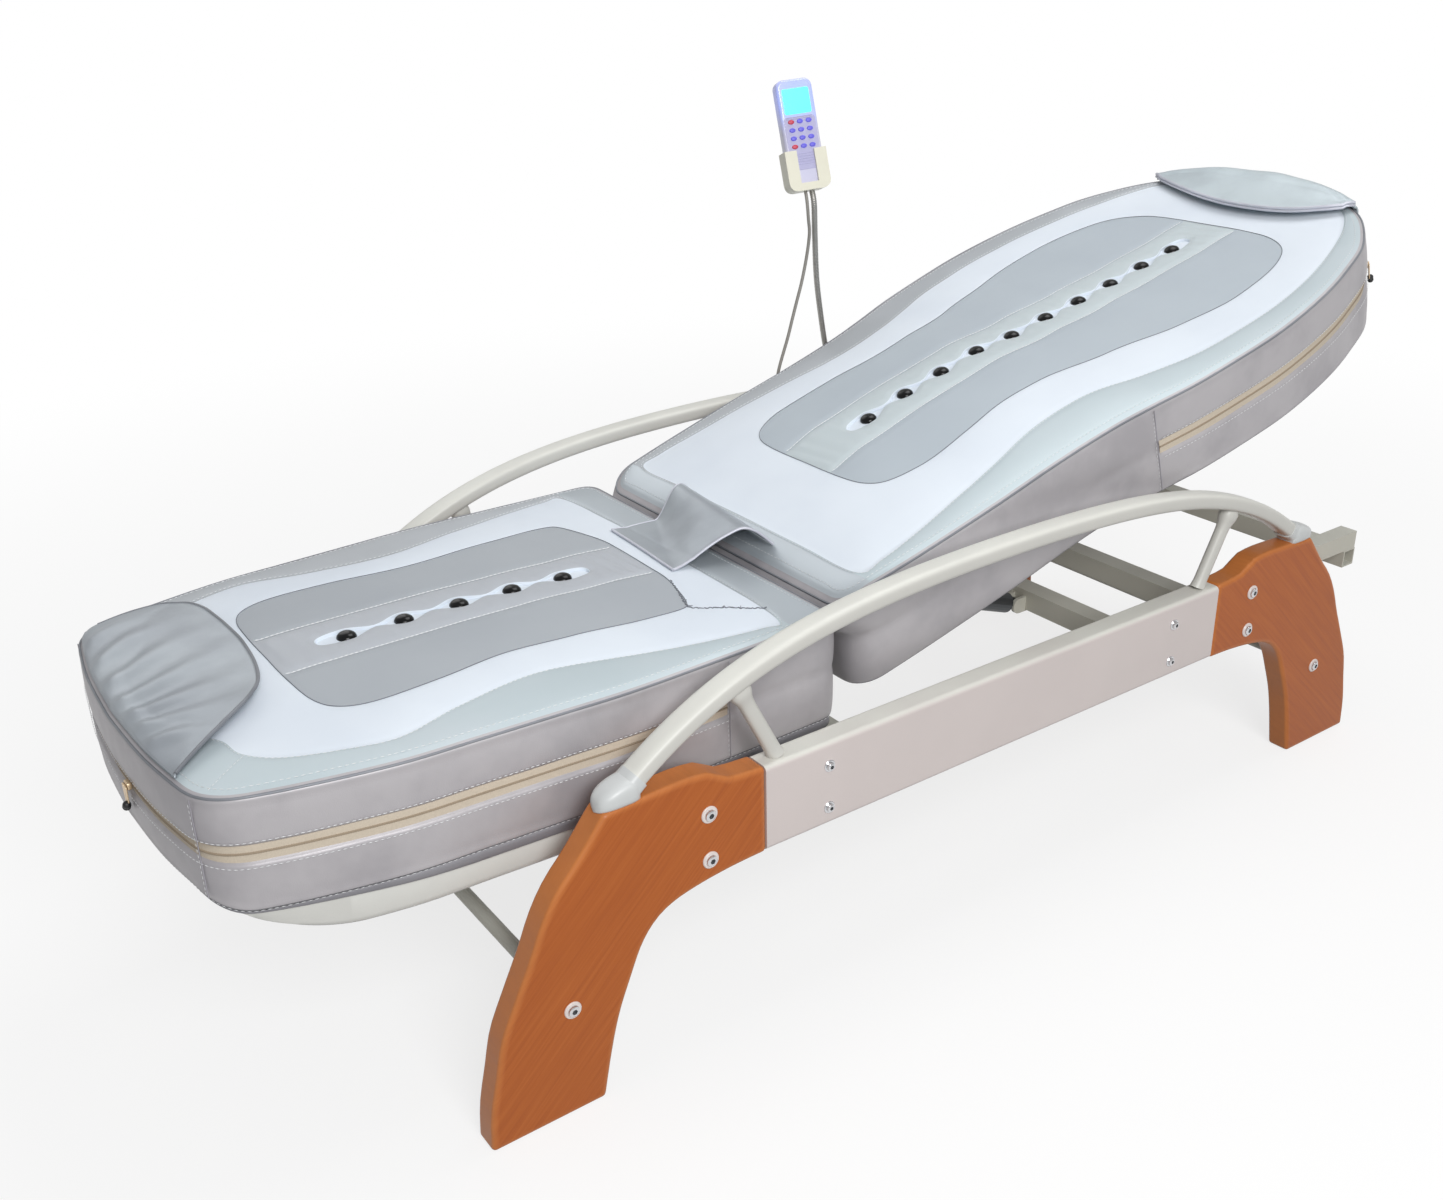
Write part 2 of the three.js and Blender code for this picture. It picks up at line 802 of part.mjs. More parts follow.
// A curved strip that follows the crown of a mat along its middle.
function crownStrip(xRange, halfWidth, down, up, height) {
  const count = Math.ceil((xRange[1] - xRange[0]) / stripMargin);
  const places = Array.from({ length: count + 1 }, (_, i) => xRange[0] + (xRange[1] - xRange[0]) * i / count);
  return loft(places.map((x) => [
    new THREE.Vector3(x, -halfWidth, height(x) - down),
    new THREE.Vector3(x, halfWidth, height(x) - down),
    new THREE.Vector3(x, halfWidth, height(x) + up),
    new THREE.Vector3(x, -halfWidth, height(x) + up),
  ]));
}

function stoneStrip(first, pitch, count, height) {
  const last = first + pitch * (count - 1);
  const xRange = [first - stripMargin, last + stripMargin];
  const tape = crownStrip(xRange, stripHalfWidth, stripDepth, stripRise, height);
  const stones = Array.from({ length: count }, (_, i) => {
    const x = first + pitch * i;
    const ball = new THREE.SphereGeometry(stoneRadius, 10, 6);
    ball.rotateX(Math.PI / 2);
    ball.scale(1, 1, stoneRise);
    ball.translate(x, 0, height(x));
    const reach = around(0, 3 * stoneRadius);
    const zRange = [height(x) - 2 * stoneRadius, height(x) - stripDepth / 2];
    const under = block(around(x, 3 * stoneRadius), reach, zRange);
    return cut(ball, under);
  });
  return join(tape, ...stones);
}

function stripSlot(first, pitch, count, height) {
  const last = first + pitch * (count - 1);
  return crownStrip(
    [first - stripMargin - seatGap, last + stripMargin + seatGap],
    stripHalfWidth + seatGap, stripDepth + seatGap, 8 * overrun, height);
}

function lowerMiddle(x) {
  return crownHeight(x, 0, lowerCrown, lowerCrownShares, lowerFootX, lowerHeadX) - 2 * runGap;
}

function upperMiddle(x) {
  return crownHeight(x, 0, upperCrown, upperCrownShares, upperHingeX, upperHeadX) - 2 * runGap;
}

const lowerStoneRow = [lowerStoneFirstX, lowerStonePitch, lowerStoneCount, lowerMiddle];
const upperStoneRow = [upperStoneFirstX, upperStonePitch, upperStoneCount, upperMiddle];

const lowerMatBody = mat(lowerHalfOutline(), lowerCrown, lowerCrownShares, lowerFootX, lowerHeadX, 0);
const upperMatBody = mat(
  upperHalfOutline(), upperCrown, upperCrownShares, upperHingeX, upperHeadX, upperHingeLean);

function lowerPad() {
  return cut(lowerMatBody, stripSlot(...lowerStoneRow), ...channelCuts(...lowerStoneRow));
}

function lowerTray() {
  const outline = inset(mirrored(lowerHalfOutline()), trayInset);
  const top = matBottom - seatGap;
  const bottom = matBottom - trayDrop;
  const plan = slab(outline, [bottom - overrun, top + overrun]);
  const noseX = lowerFootX + trayInset;
  const noseMiddle = [(trayNoseStartX + noseX) / 2, bottom + trayNoseRise * trayNoseShare];
  const nose = spline([[trayNoseStartX, bottom], noseMiddle, [noseX, bottom + trayNoseRise]], 5);
  const profile = [
    [lowerHeadX, bottom], ...nose, [noseX, top], [lowerHeadX, top],
  ];
  return common(plan, plate(profile, [-lowerHalfWidth, lowerHalfWidth]));
}

// A sheet lying on a mat, from its seam to its free edge, with folds that run along X.
function sheet(seamAt, freeAt, yRange, surface, arch) {
  const [across, along] = [sheetAcross, sheetAlong];
  const grid = (lift, foldShare) => Array.from({ length: across + 1 }, (_, i) => {
    const v = i / across;
    const y = yRange[0] + (yRange[1] - yRange[0]) * v;
    const seam = seamAt(y);
    const reach = freeAt(v) - seam;
    return Array.from({ length: along + 1 }, (_, j) => {
      const u = j / along;
      const x = seam + Math.sign(reach) * Math.max(Math.abs(reach), 2 * flapThickness) * u;
      const wave = 0.5 + 0.5 * Math.cos(2 * Math.PI * foldCount * v);
      const fold = foldShare * foldRise * wave * Math.sin(Math.PI * u / 2);
      return new THREE.Vector3(x, y, surface(x, y) + lift + fold + arch * Math.sin(Math.PI * u));
    });
  });
  const [low, high] = [grid(-flapThickness, 0), grid(flapThickness, 1)];
  return loft(low.map((row, i) => [...row, ...high[i].slice().reverse()]));
}

function raisedBy(geometry, distance) {
  return geometry.clone().translate(0, 0, distance);
}

function surfaceOf(crown, crownShares, footX, headX, halfWidth) {
  return (x, y) => crownHeight(x, Math.min(Math.abs(y) / halfWidth, 1), crown, crownShares, footX, headX);
}

const lowerSurface = surfaceOf(lowerCrown, lowerCrownShares, lowerFootX, lowerHeadX, lowerHalfWidth);
const upperSurface = surfaceOf(upperCrown, upperCrownShares, upperHingeX, upperHeadX, upperHalfWidth);

// Where the edge of a mat's end lies along X, at a distance from the middle line.
function endEdge(half, y) {
  const i = half.findIndex((_, k) => {
    const [y0, y1] = [half[k][1], (half[k + 1] ?? half[k])[1]];
    return k + 1 < half.length && Math.min(y0, y1) <= y && y <= Math.max(y0, y1);
  });
  const [[x0, y0], [x1, y1]] = [half[i], half[i + 1]];
  return y1 === y0 ? x0 : x0 + (x1 - x0) * (y - y0) / (y1 - y0);
}

function footFlap() {
  const half = lowerHalfOutline();
  const seamHalf = footFlapSeamShare * lowerHalfWidth;
  const seamAt = (y) => endEdge(half, Math.min(Math.abs(y), seamHalf)) + 2 * matRimRadius;
  const freeAt = (v) => footFlapSeamX + (footFlapFreeX - footFlapSeamX) * table(footFlapReachShares, v);
  const cloth = sheet(seamAt, freeAt, [footFlapNearY, footFlapFarY], lowerSurface, 0);
  return cut(cloth, raisedBy(lowerMatBody, seatGap));
}

function headFlap() {
  const half = upperHalfOutline().reverse();
  const seamAt = (y) => endEdge(half, Math.abs(y)) - 2 * matRimRadius;
  const freeAt = (v) => headFlapSeamX + (headFlapFreeX - headFlapSeamX) * table(headFlapReachShares, v);
  const range = [-headFlapHalfWidth, headFlapHalfWidth];
  const cloth = sheet(seamAt, (v) => {
    const y = range[0] + (range[1] - range[0]) * v;
    return Math.min(freeAt(v), seamAt(y) - 2 * flapThickness);
  }, range, upperSurface, 0);
  return cut(cloth, raisedBy(upperMatBody, seatGap));
}

// Tilting half: everything is drawn with the mat level, and the group turns it about the hinge.
const tilt = THREE.MathUtils.degToRad(tiltDegrees);

function raised(geometry) {
  const copy = geometry.clone();
  copy.translate(-pivotX, 0, -pivotZ);
  copy.rotateY(-tilt);
  copy.translate(pivotX, 0, pivotZ);
  return copy;
}

function waistFlap() {
  const seam = waistFlapFootX;
  const rise = raisedPoint(upperHingeX, matTop);
  const surface = (x) => {
    const share = Math.min(Math.max((x - lowerHeadX) / (rise[0] - lowerHeadX), 0), 1);
    const past = Math.max(x - rise[0], 0) * Math.tan(tilt);
    return matTop + share * (rise[1] - matTop) + past;
  };
  const cloth = sheet(
    () => seam, () => waistFlapHeadX, [waistFlapNearY, waistFlapFarY], surface, waistFlapArch);
  const wedge = block(
    [lowerHeadX - overrun, rise[0] + overrun], around(0, 2 * lowerHalfWidth), [matBottom, matTop - seatGap]);
  const clear = cut(
    cloth, raisedBy(lowerMatBody, seatGap), raisedBy(raised(upperMatBody), 4 * seatGap), wedge);
  return clear;
}

function raisedPoint(x, z) {
  const [dx, dz] = [x - pivotX, z - pivotZ];
  const [c, s] = [Math.cos(tilt), Math.sin(tilt)];
  return [pivotX + dx * c - dz * s, pivotZ + dx * s + dz * c];
}

// Head half

const boardTop = matBottom + boardThickness;

function boardOutline(distance) {
  return inset(mirrored(upperHalfOutline()), distance);
}

function upperPad() {
  const recess = slab(boardOutline(boardInset - seatGap), [matBottom - overrun, boardTop + seatGap]);
  const pocket = block(
    [pocketFootX, pocketHeadX], [-pocketHalfWidth, pocketHalfWidth], [boardTop, boardTop + pocketHeight]);
  return cut(upperMatBody, recess, pocket, stripSlot(...upperStoneRow), ...channelCuts(...upperStoneRow));
}

const liftHead = [pivotX + liftHeadOffsetX, pivotZ + liftHeadOffsetZ];

function upperBase() {
  const parts = [slab(boardOutline(boardInset), [matBottom, boardTop])];
  const strapTop = matBottom + overrun;
  sides.forEach(([, side]) => {
    const y = side * hingeY;
    const strap = plate([
      [pivotX, pivotZ - hingeEyeRadius], [upperHingeX + 3 * boardInset, pivotZ - hingeEyeRadius],
      [upperHingeX + 3 * boardInset, strapTop], [upperHingeX + boardInset + overrun, strapTop],
      [upperHingeX + boardInset + overrun, matBottom - seatGap], [pivotX, matBottom - seatGap],
    ], around(y, hingeEyeWidth));
    const [near, far] = around(y, hingeEyeWidth).map((end) => [pivotX, end, pivotZ]);
    parts.push(join(strap, rod(hingeEyeRadius, near, far)));
    const gauge = liftLugSpacing / 2;
    [-1, 1].forEach((cheek) => {
      const ear = [
        ...halfCircle(...liftHead, liftEyeRadius, Math.PI),
        [liftHead[0] + liftEyeRadius, strapTop],
        [liftHead[0] - liftEyeRadius, strapTop],
      ];
      parts.push(plate(ear, around(side * liftY + cheek * gauge, liftLugThickness)));
    });
    const [x, z] = liftHead;
    parts.push(rod(liftPinRadius, [x, side * liftY - gauge, z], [x, side * liftY + gauge, z], 12));
  });
  const bores = sides.map(([, side]) => rod(
    hingePinRadius + seatGap,
    [pivotX, side * hingeY - hingeEyeWidth, pivotZ], [pivotX, side * hingeY + hingeEyeWidth, pivotZ], 12));
  return cut(join(...parts), ...bores);
}

// A straight rack: its teeth stand on the given height and are trapezoids.
function toothBar(xRange, baseZ, yRange) {
  const count = Math.floor((xRange[1] - xRange[0]) / toothPitch);
  const outline = [[xRange[0], baseZ - trackBase / 2]];
  for (let i = 0; i < count; i++) {
    toothShares.forEach((share, corner) => {
      const high = corner === 1 || corner === 2;
      outline.push([xRange[0] + (i + share) * toothPitch, baseZ + (high ? toothHeight : 0)]);
    });
  }
  outline.push([xRange[0] + count * toothPitch, baseZ - trackBase / 2]);
  return plate(outline, yRange);
}

const trackFloor = boardTop + seatGap;

function guideTrack() {
  const xRange = [trackFootX, trackHeadX];
  const base = block(xRange, [-trackHalfWidth, trackHalfWidth], [trackFloor, trackFloor + trackBase]);
  const rails = [-1, 1].map((side) => block(
    xRange,
    around(side * (trackHalfWidth - trackRailWidth / 2), trackRailWidth),
    [trackFloor, trackFloor + trackRailHeight]));
  const rack = toothBar(xRange, trackFloor + trackBase, around(rackY, rackWidth));
  return join(base, ...rails, rack);
}

const carriageFloor = trackFloor + trackBase + toothHeight + runGap;
const carriageHalfWidth = trackHalfWidth - trackRailWidth - runGap;
const shaftZ = carriageFloor + carriageHeight + runGap;
const pinionPitchRadius = pinionTeeth * toothPitch / (2 * Math.PI);
const pinionZ = trackFloor + trackBase + toothHeight / 2 + pinionPitchRadius + pinionBacklash;
const pinionX = trackFootX + (carriageTooth + 1 / 2) * toothPitch;
const carriageX = around(pinionX, carriageLength);

function carriage() {
  const zRange = [carriageFloor, carriageFloor + carriageHeight];
  const shell = block(carriageX, around(0, 2 * carriageHalfWidth), zRange);
  const well = block(
    [carriageX[0] + carriageWall, carriageX[1] - carriageWall],
    around(0, 2 * (carriageHalfWidth - carriageWall)),
    [carriageFloor + carriageWall, carriageFloor + carriageHeight + overrun]);
  const slot = block(
    around(pinionX, 2 * (pinionPitchRadius + toothHeight)),
    around(rackY, pinionWidth + 2 * runGap + overrun),
    [carriageFloor - overrun, carriageFloor + carriageHeight]);
  const open = cut(shell, well, slot);
  const shoes = [-1, 1].map((side) => block(
    carriageX, around(side * (trackHalfWidth - trackRailWidth / 2), trackRailWidth + 2 * runGap),
    [trackFloor + trackRailHeight + seatGap, carriageFloor + carriageHeight]));
  const bearings = [];
  [-1, 1].forEach((end) => {
    [-1, 1].forEach((side) => {
      bearings.push(block(
        around(pinionX + end * rollerSpacing / 2, 5 * rollerShaftRadius),
        around(side * (carriageHalfWidth - carriageWall), 2 * carriageWall),
        [carriageFloor + carriageWall, shaftZ + 2 * rollerShaftRadius]));
    });
  });
  const motor = rod(
    motorRadius, [pinionX, -carriageHalfWidth + carriageWall / 2, pinionZ],
    [pinionX, rackY - pinionWidth / 2 - 2 * runGap - overrun, pinionZ]);
  const body = join(open, ...shoes, ...bearings, motor);
  const bores = [-1, 1].map((end) => rod(
    rollerShaftRadius + seatGap,
    [pinionX + end * rollerSpacing / 2, -trackHalfWidth, shaftZ],
    [pinionX + end * rollerSpacing / 2, trackHalfWidth, shaftZ], 12));
  const pinionBore = rod(
    rollerShaftRadius / 2 + seatGap, [pinionX, 0, pinionZ], [pinionX, trackHalfWidth + overrun, pinionZ], 10);
  return cut(body, ...bores, pinionBore);
}

function roller(end) {
  const x = pinionX + end * rollerSpacing / 2;
  const reach = carriageHalfWidth - seatGap;
  const parts = [rod(rollerShaftRadius, [x, -reach, shaftZ], [x, reach, shaftZ], 12)];
  [-1, 1].forEach((side) => {
    const disc = new THREE.SphereGeometry(rollerRadius, 12, 6);
    disc.scale(1, rollerDiscWidth / (2 * rollerRadius), 1);
    disc.translate(x, side * rollerDiscY, shaftZ);
    parts.push(disc);
  });
  return join(...parts);
}

function drivePinion() {
  const points = [];
  for (let i = 0; i < pinionTeeth; i++) {
    toothShares.forEach((share, corner) => {
      const high = corner === 1 || corner === 2;
      const angle = (i + share) / pinionTeeth * 2 * Math.PI;
      const radius = pinionPitchRadius + (high ? 1 : -1) * toothHeight / 2;
      points.push([pinionX + radius * Math.cos(angle), pinionZ + radius * Math.sin(angle)]);
    });
  }
  const wheel = plate(points, around(rackY, pinionWidth));
  const shaft = rod(
    rollerShaftRadius / 2, [pinionX, rackY - pinionWidth / 2 - 3 * runGap - overrun, pinionZ],
    [pinionX, carriageHalfWidth - seatGap, pinionZ], 10);
  return join(wheel, shaft);
}

// Lift cylinders: the barrel turns on the beam, the rod slides in it and carries the base board.

const liftTop = raisedPoint(...liftHead);
const liftSpan = Math.hypot(liftTop[0] - liftTailX, liftTop[1] - liftTailZ);
const liftAngle = Math.atan2(liftTop[1] - liftTailZ, liftTop[0] - liftTailX);

function alongLift(geometry, y) {
  geometry.rotateY(-liftAngle);
  geometry.translate(liftTailX, y, liftTailZ);
  return geometry;
}

function liftCylinder(side) {
  const y = side * liftY;
  const eyeReach = liftEyeWidth / 2;
  const eye = rod(liftEyeRadius, [0, -eyeReach, 0], [0, eyeReach, 0]);
  const neck = block([0, barrelStart + overrun], around(0, liftEyeWidth), around(0, liftEyeWidth));
  const barrel = rod(barrelRadius, [barrelStart, 0, 0], [barrelStart + barrelLength, 0, 0], 20);
  const bore = rod(
    barrelRadius - barrelWall, [liftSpan - barrelLength, 0, 0],
    [barrelStart + barrelLength + overrun, 0, 0], 16);
  const pinBore = rod(liftPinRadius + seatGap, [0, -liftEyeWidth, 0], [0, liftEyeWidth, 0], 12);
  return alongLift(cut(join(eye, neck, barrel), bore, pinBore), y);
}

function liftRod(side) {
  const y = side * liftY;
  const reach = liftEyeWidth / 2;
  const eye = rod(liftHeadEyeRadius, [liftSpan, -reach, 0], [liftSpan, reach, 0]);
  const start = barrelStart + barrelLength - rodOverlap;
  const shaft = rod(rodRadius, [start, 0, 0], [liftSpan, 0, 0], 16);
  const piston = rod(barrelRadius - barrelWall - seatGap, [start, 0, 0], [start + barrelWall, 0, 0], 16);
  const opening = rod(
    liftPinRadius + liftHeadClearance, [liftSpan, -liftEyeWidth, 0], [liftSpan, liftEyeWidth, 0], 14);
  return alongLift(cut(join(eye, shaft, piston), opening), y);
}

// Control box

function controlBox() {
  const top = matBottom - trayDrop - seatGap;
  const zRange = [top - controlHeight, top];
  const box = block(around(controlX, controlLength), around(0, controlWidth), zRange);
  const face = controlX - controlLength / 2;
  const height = around(top - controlHeight / 2, inletHeight);
  const inlet = block([face - overrun, face + inletDepth], around(controlWidth / 4, inletWidth), height);
  return cut(box, inlet);
}

// Zip sliders

function zipSlider() {
  const body = block(around(0, sliderThickness), around(0, sliderLength), around(0, sliderWidth));
  const pull = block(
    around(-sliderThickness / 2 - pullThickness / 2 + seatGap, pullThickness), around(0, pullWidth),
    [-pullLength - sliderWidth / 2, 0]);
  return join(body, pull);
}

// The slider lies along the bowed end of the mat.
function footSlider() {
  const half = lowerHalfOutline();
  const [inner, outer] = around(Math.abs(footSliderY), sliderLength).map((y) => endEdge(half, y));
  const away = sliderThickness / 2 + 2 * seatGap - zipDraw;
  const geometry = zipSlider().rotateZ(Math.atan((outer - inner) / sliderLength));
  return geometry.translate((inner + outer) / 2 - away, footSliderY, matTop - zipHeight);
}

function sideHalfWidth(half, x) {
  const i = half.findIndex(([px], k) => k > half.length / 3 && px > x);
  const [[x0, y0], [x1, y1]] = [half[i - 1], half[i]];
  return { y: y0 + (y1 - y0) * (x - x0) / (x1 - x0), slope: (y1 - y0) / (x1 - x0) };
}

const headSliderSpot = sideHalfWidth(upperHalfOutline(), headSliderX);
const headSliderTurn = Math.atan(-headSliderSpot.slope);

function headSlider() {
  const geometry = zipSlider();
  geometry.rotateZ(Math.PI / 2 + headSliderTurn);
  const away = sliderThickness / 2 + seatGap - zipDraw + runGap;
  return geometry.translate(
    headSliderX + away * Math.sin(headSliderTurn),
    -headSliderSpot.y - away * Math.cos(headSliderTurn),
    matTop - zipHeight);
}

// Remote control

const remotePlace = new THREE.Group();
remotePlace.position.set(handsetX, handsetY, handsetZ);
remotePlace.rotation.set(
  THREE.MathUtils.degToRad(handsetPitch),
  THREE.MathUtils.degToRad(handsetRoll),
  THREE.MathUtils.degToRad(handsetYaw),
  'ZXY');
remotePlace.updateMatrix();

function inRemote(x, y, z) {
  return new THREE.Vector3(x, y, z).applyMatrix4(remotePlace.matrix);
}

function neckPath() {
  const base = new THREE.Vector3(clampX, bowCentreY, bowCentre(clampX) + neckBaseRise);
  const under = -handsetBottom - holderFloor - 2 * seatGap;
  const end = inRemote(neckSideX, neckRadius, under);
  const before = inRemote(neckSideX, neckRadius, under - neckStraight);
  const points = neckRouteShares.map(([u, v, w]) => new THREE.Vector3(
    base.x + u * (before.x - base.x), base.y + v * (before.y - base.y), base.z + w * (before.z - base.z)));
  return new THREE.CatmullRomCurve3([...points, end]);
}

function gooseneck() {
  const clampZ = bowCentre(clampX);
  const [length, width, height] = [
    around(clampX, clampLength), around(bowCentreY, clampWidth), around(clampZ, clampHeight)];
  const ring = block(length, width, height);
  const grip = ovalSection(bowDepth + 2 * seatGap, bowWidth + 2 * seatGap, tubeSides);
  const bow = sweepXZ(bowPath(bowEndX, bowSteps), grip, bowCentreY);
  const path = neckPath();
  const frames = path.computeFrenetFrames(2 * neckRibCount, false);
  const rings = Array.from({ length: 2 * neckRibCount + 1 }, (_, i) => {
    const centre = path.getPointAt(i / (2 * neckRibCount));
    const radius = neckRadius - (i % 2) * neckRib;
    return Array.from({ length: 8 }, (_, k) => {
      const angle = k / 8 * 2 * Math.PI;
      return centre.clone()
        .addScaledVector(frames.normals[i], radius * Math.cos(angle))
        .addScaledVector(frames.binormals[i], radius * Math.sin(angle));
    });
  });
  return join(cut(ring, bow), loft(rings));
}

function handsetShape(margin) {
  const width = handsetWidth + 2 * margin;
  const middle = (handsetTop - handsetBottom) / 2;
  const height = handsetTop + handsetBottom + 2 * margin;
  const outline = roundedRectangle(width, height, handsetCorner + margin, 4).map(([x, z]) => [x, z + middle]);
  const reach = handsetThickness / 2 + margin;
  return plate(outline, [-reach, reach], handsetEdge);
}

function keyPlace(column, row) {
  return [(column - (keyColumns - 1) / 2) * keyPitchX, keyTop - row * keyPitchZ];
}

function keyOutline(margin) {
  return Array.from({ length: 10 }, (_, i) => {
    const angle = i / 10 * 2 * Math.PI;
    return [(keyLength / 2 + margin) * Math.cos(angle), (keyHeight / 2 + margin) * Math.sin(angle)];
  });
}

const faceY = -handsetThickness / 2;

function handsetShell() {
  const wells = [];
  for (let row = 0; row < keyRows; row++) {
    for (let column = 0; column < keyColumns; column++) {
      const [x, z] = keyPlace(column, row);
      const outline = keyOutline(seatGap).map(([u, w]) => [x + u, z + w]);
      wells.push(plate(outline, [faceY - overrun, faceY + keySink + runGap]));
    }
  }
  const zRange = [screenTop - screenHeight, screenTop];
  const screenWell = block(around(0, screenWidth), [faceY - overrun, faceY + screenThickness], zRange);
  return cut(handsetShape(0), screenWell, ...wells);
}

function key(column, row) {
  const [x, z] = keyPlace(column, row);
  const outline = keyOutline(0).map(([u, w]) => [x + u, z + w]);
  return plate(outline, [faceY - keyRise, faceY + keySink - runGap]);
}

function holder() {
  const bottom = -handsetBottom - holderFloor;
  const top = bottom + holderHeight;
  const reach = handsetThickness / 2 + runGap / 2 + holderWall;
  const half = handsetWidth / 2 + runGap / 2 + holderWall;
  const middle = (bottom + top) / 2;
  const outline = roundedRectangle(2 * half, holderHeight, handsetCorner, 4).map(([x, z]) => [x, z + middle]);
  const cup = plate(outline, [-reach, reach]);
  const square = block(around(0, 2 * half), [-reach, reach], [middle, top]);
  const room = handsetShape(runGap / 2);
  const roomAbove = block(
    around(0, handsetWidth + runGap), around(0, handsetThickness + runGap), [middle, top + overrun]);
  const zRange = [bottom + 3 * holderWall, top + overrun];
  const notch = block(around(0, holderNotch), [-reach - overrun, 0], zRange);
  return cut(join(cup, square), room, roomAbove, notch);
}

// Route of the remote's cord, from the underside of the holder to the gland on the far side tube.
// Heights are measured from the crest of the legs.
const cordRoute = [
  [190.8, 319.2, 499.2], [190.5, 315.6, 487.8], [192, 315, 473], [196, 318, 455], [203, 324, 433],
  [206, 330, 413], [206, 335, 390], [204, 339, 367], [199, 342, 340], [192, 345, 312],
  [185, 348, 283], [177, 350, 253], [168, 352, 225], [159, 352.5, 199], [150, 351, 167],
  [142, 346, 130], [136, 340, 85], [132, 338, 35], [131, 336.9, 0], [131, 336.7, -23],
  [131, 336.7, -40.7],
];

function cord() {
  const points = cordRoute.map(([x, y, rise]) => new THREE.Vector3(x, y, legCrest + rise));
  const curve = new THREE.CatmullRomCurve3(points);
  const section = new THREE.Shape(Array.from({ length: 8 }, (_, i) => {
    const angle = i / 8 * 2 * Math.PI;
    return new THREE.Vector2(cordRadius * Math.cos(angle), cordRadius * Math.sin(angle));
  }));
  const steps = Math.round(curve.getLength() / (5 * cordRadius));
  return new THREE.ExtrudeGeometry(section, { steps, extrudePath: curve, bevelEnabled: false });
}

// Assembly

const frame = new THREE.Group();
sides.forEach(([label, side]) => {
  frame.add(piece(`rail_${label}`, rail(side), paint));
  frame.add(piece(`leg_foot_${label}`, leg(-1, side), wood));
  frame.add(piece(`leg_head_${label}`, leg(1, side), wood));
  frame.add(piece(`handrail_${label}`, handrail(side), paint));
  frame.add(piece(`rail_cap_foot_${label}`, railCap(-1, side), whitePlastic));
  frame.add(piece(`rail_cap_head_${label}`, railCap(1, side), whitePlastic));
  frame.add(piece(`side_tube_${label}`, sideTube(side), darkSteel));
  frame.add(piece(`lift_cylinder_${label}`, liftCylinder(side), darkSteel));
  frame.add(piece(`lift_rod_${label}`, liftRod(side), steel));
});
frame.add(piece('stretcher_foot', stretcher(-1), wood));
frame.add(piece('stretcher_head', stretcher(1), wood));
frame.add(piece('leg_beam_foot', crossBeam(-legBoltX, legBeamHalf), paint));
frame.add(piece('rail_beam_foot', crossBeam(-railBoltX, railBeamHalf), paint));
frame.add(piece('hinge_bearer', hingeBearer(), paint));
frame.add(piece('lift_beam', liftBeam(), paint));
frame.add(piece('leg_beam_head', crossBeam(legBoltX, legBeamHalf), paint));
frame.add(piece('head_cross_tube', headCrossTube(), paint));
frame.add(piece('head_end_tube', headEndTube(), paint));
frame.add(piece('lower_tray', lowerTray(), paleTray));
frame.add(piece('lower_pad', lowerPad(), silverLeather));
frame.add(piece('lower_stone_strip', stoneStrip(...lowerStoneRow), stone));
frame.add(piece('foot_flap', footFlap(), paleCloth));
frame.add(piece('waist_flap', waistFlap(), paleCloth));
frame.add(piece('zip_slider_foot', footSlider(), zipMetal));
frame.add(piece('control_box', controlBox(), blackPlastic));
frame.add(piece('gooseneck', gooseneck(), steel));
frame.add(piece('handset_cord', cord(), cordGrey));

const headHalf = new THREE.Group();
headHalf.add(piece('upper_base', upperBase(), board));
headHalf.add(piece('upper_pad', upperPad(), silverLeather));
headHalf.add(piece('upper_stone_strip', stoneStrip(...upperStoneRow), stone));
headHalf.add(piece('head_flap', headFlap(), paleCloth));
headHalf.add(piece('zip_slider_head', headSlider(), zipMetal));
headHalf.add(piece('guide_track', guideTrack(), steel));
headHalf.add(piece('massage_carriage', carriage(), blackPlastic));
headHalf.add(piece('roller_foot', roller(-1), stone));
headHalf.add(piece('roller_head', roller(1), stone));
headHalf.add(piece('drive_pinion', drivePinion(), steel));
headHalf.children.forEach((mesh) => mesh.geometry.translate(-pivotX, 0, -pivotZ));
headHalf.position.set(pivotX, 0, pivotZ);
headHalf.rotation.y = -tilt;
frame.add(headHalf);

remotePlace.add(piece('handset_holder', holder(), cream));
remotePlace.add(piece('handset_shell', handsetShell(), lavender));
for (let row = 0; row < keyRows; row++) {
  for (let column = 0; column < keyColumns; column++) {
    remotePlace.add(piece(`key_${row + 1}_${column + 1}`, key(column, row), keyViolet));
  }
}
frame.add(remotePlace);

// The origin is on the floor under the middle of the bed's length and width.
const bed = new THREE.Group();
bed.add(frame);
bed.updateMatrixWorld(true);
const outer = new THREE.Box3().setFromObject(bed);
frame.position.x = -(outer.min.x + outer.max.x) / 2;

export default bed;
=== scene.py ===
"""Massage bed in its finished form: painted rails on shaped wooden legs, two quilted mats with
stone strips, three cloth flaps and a remote control on a bendable arm."""

import logging
import math
from dataclasses import dataclass, field
from enum import Enum
from typing import Callable, Sequence

import bmesh
import bpy
import numpy as np
from mathutils import Matrix, Vector


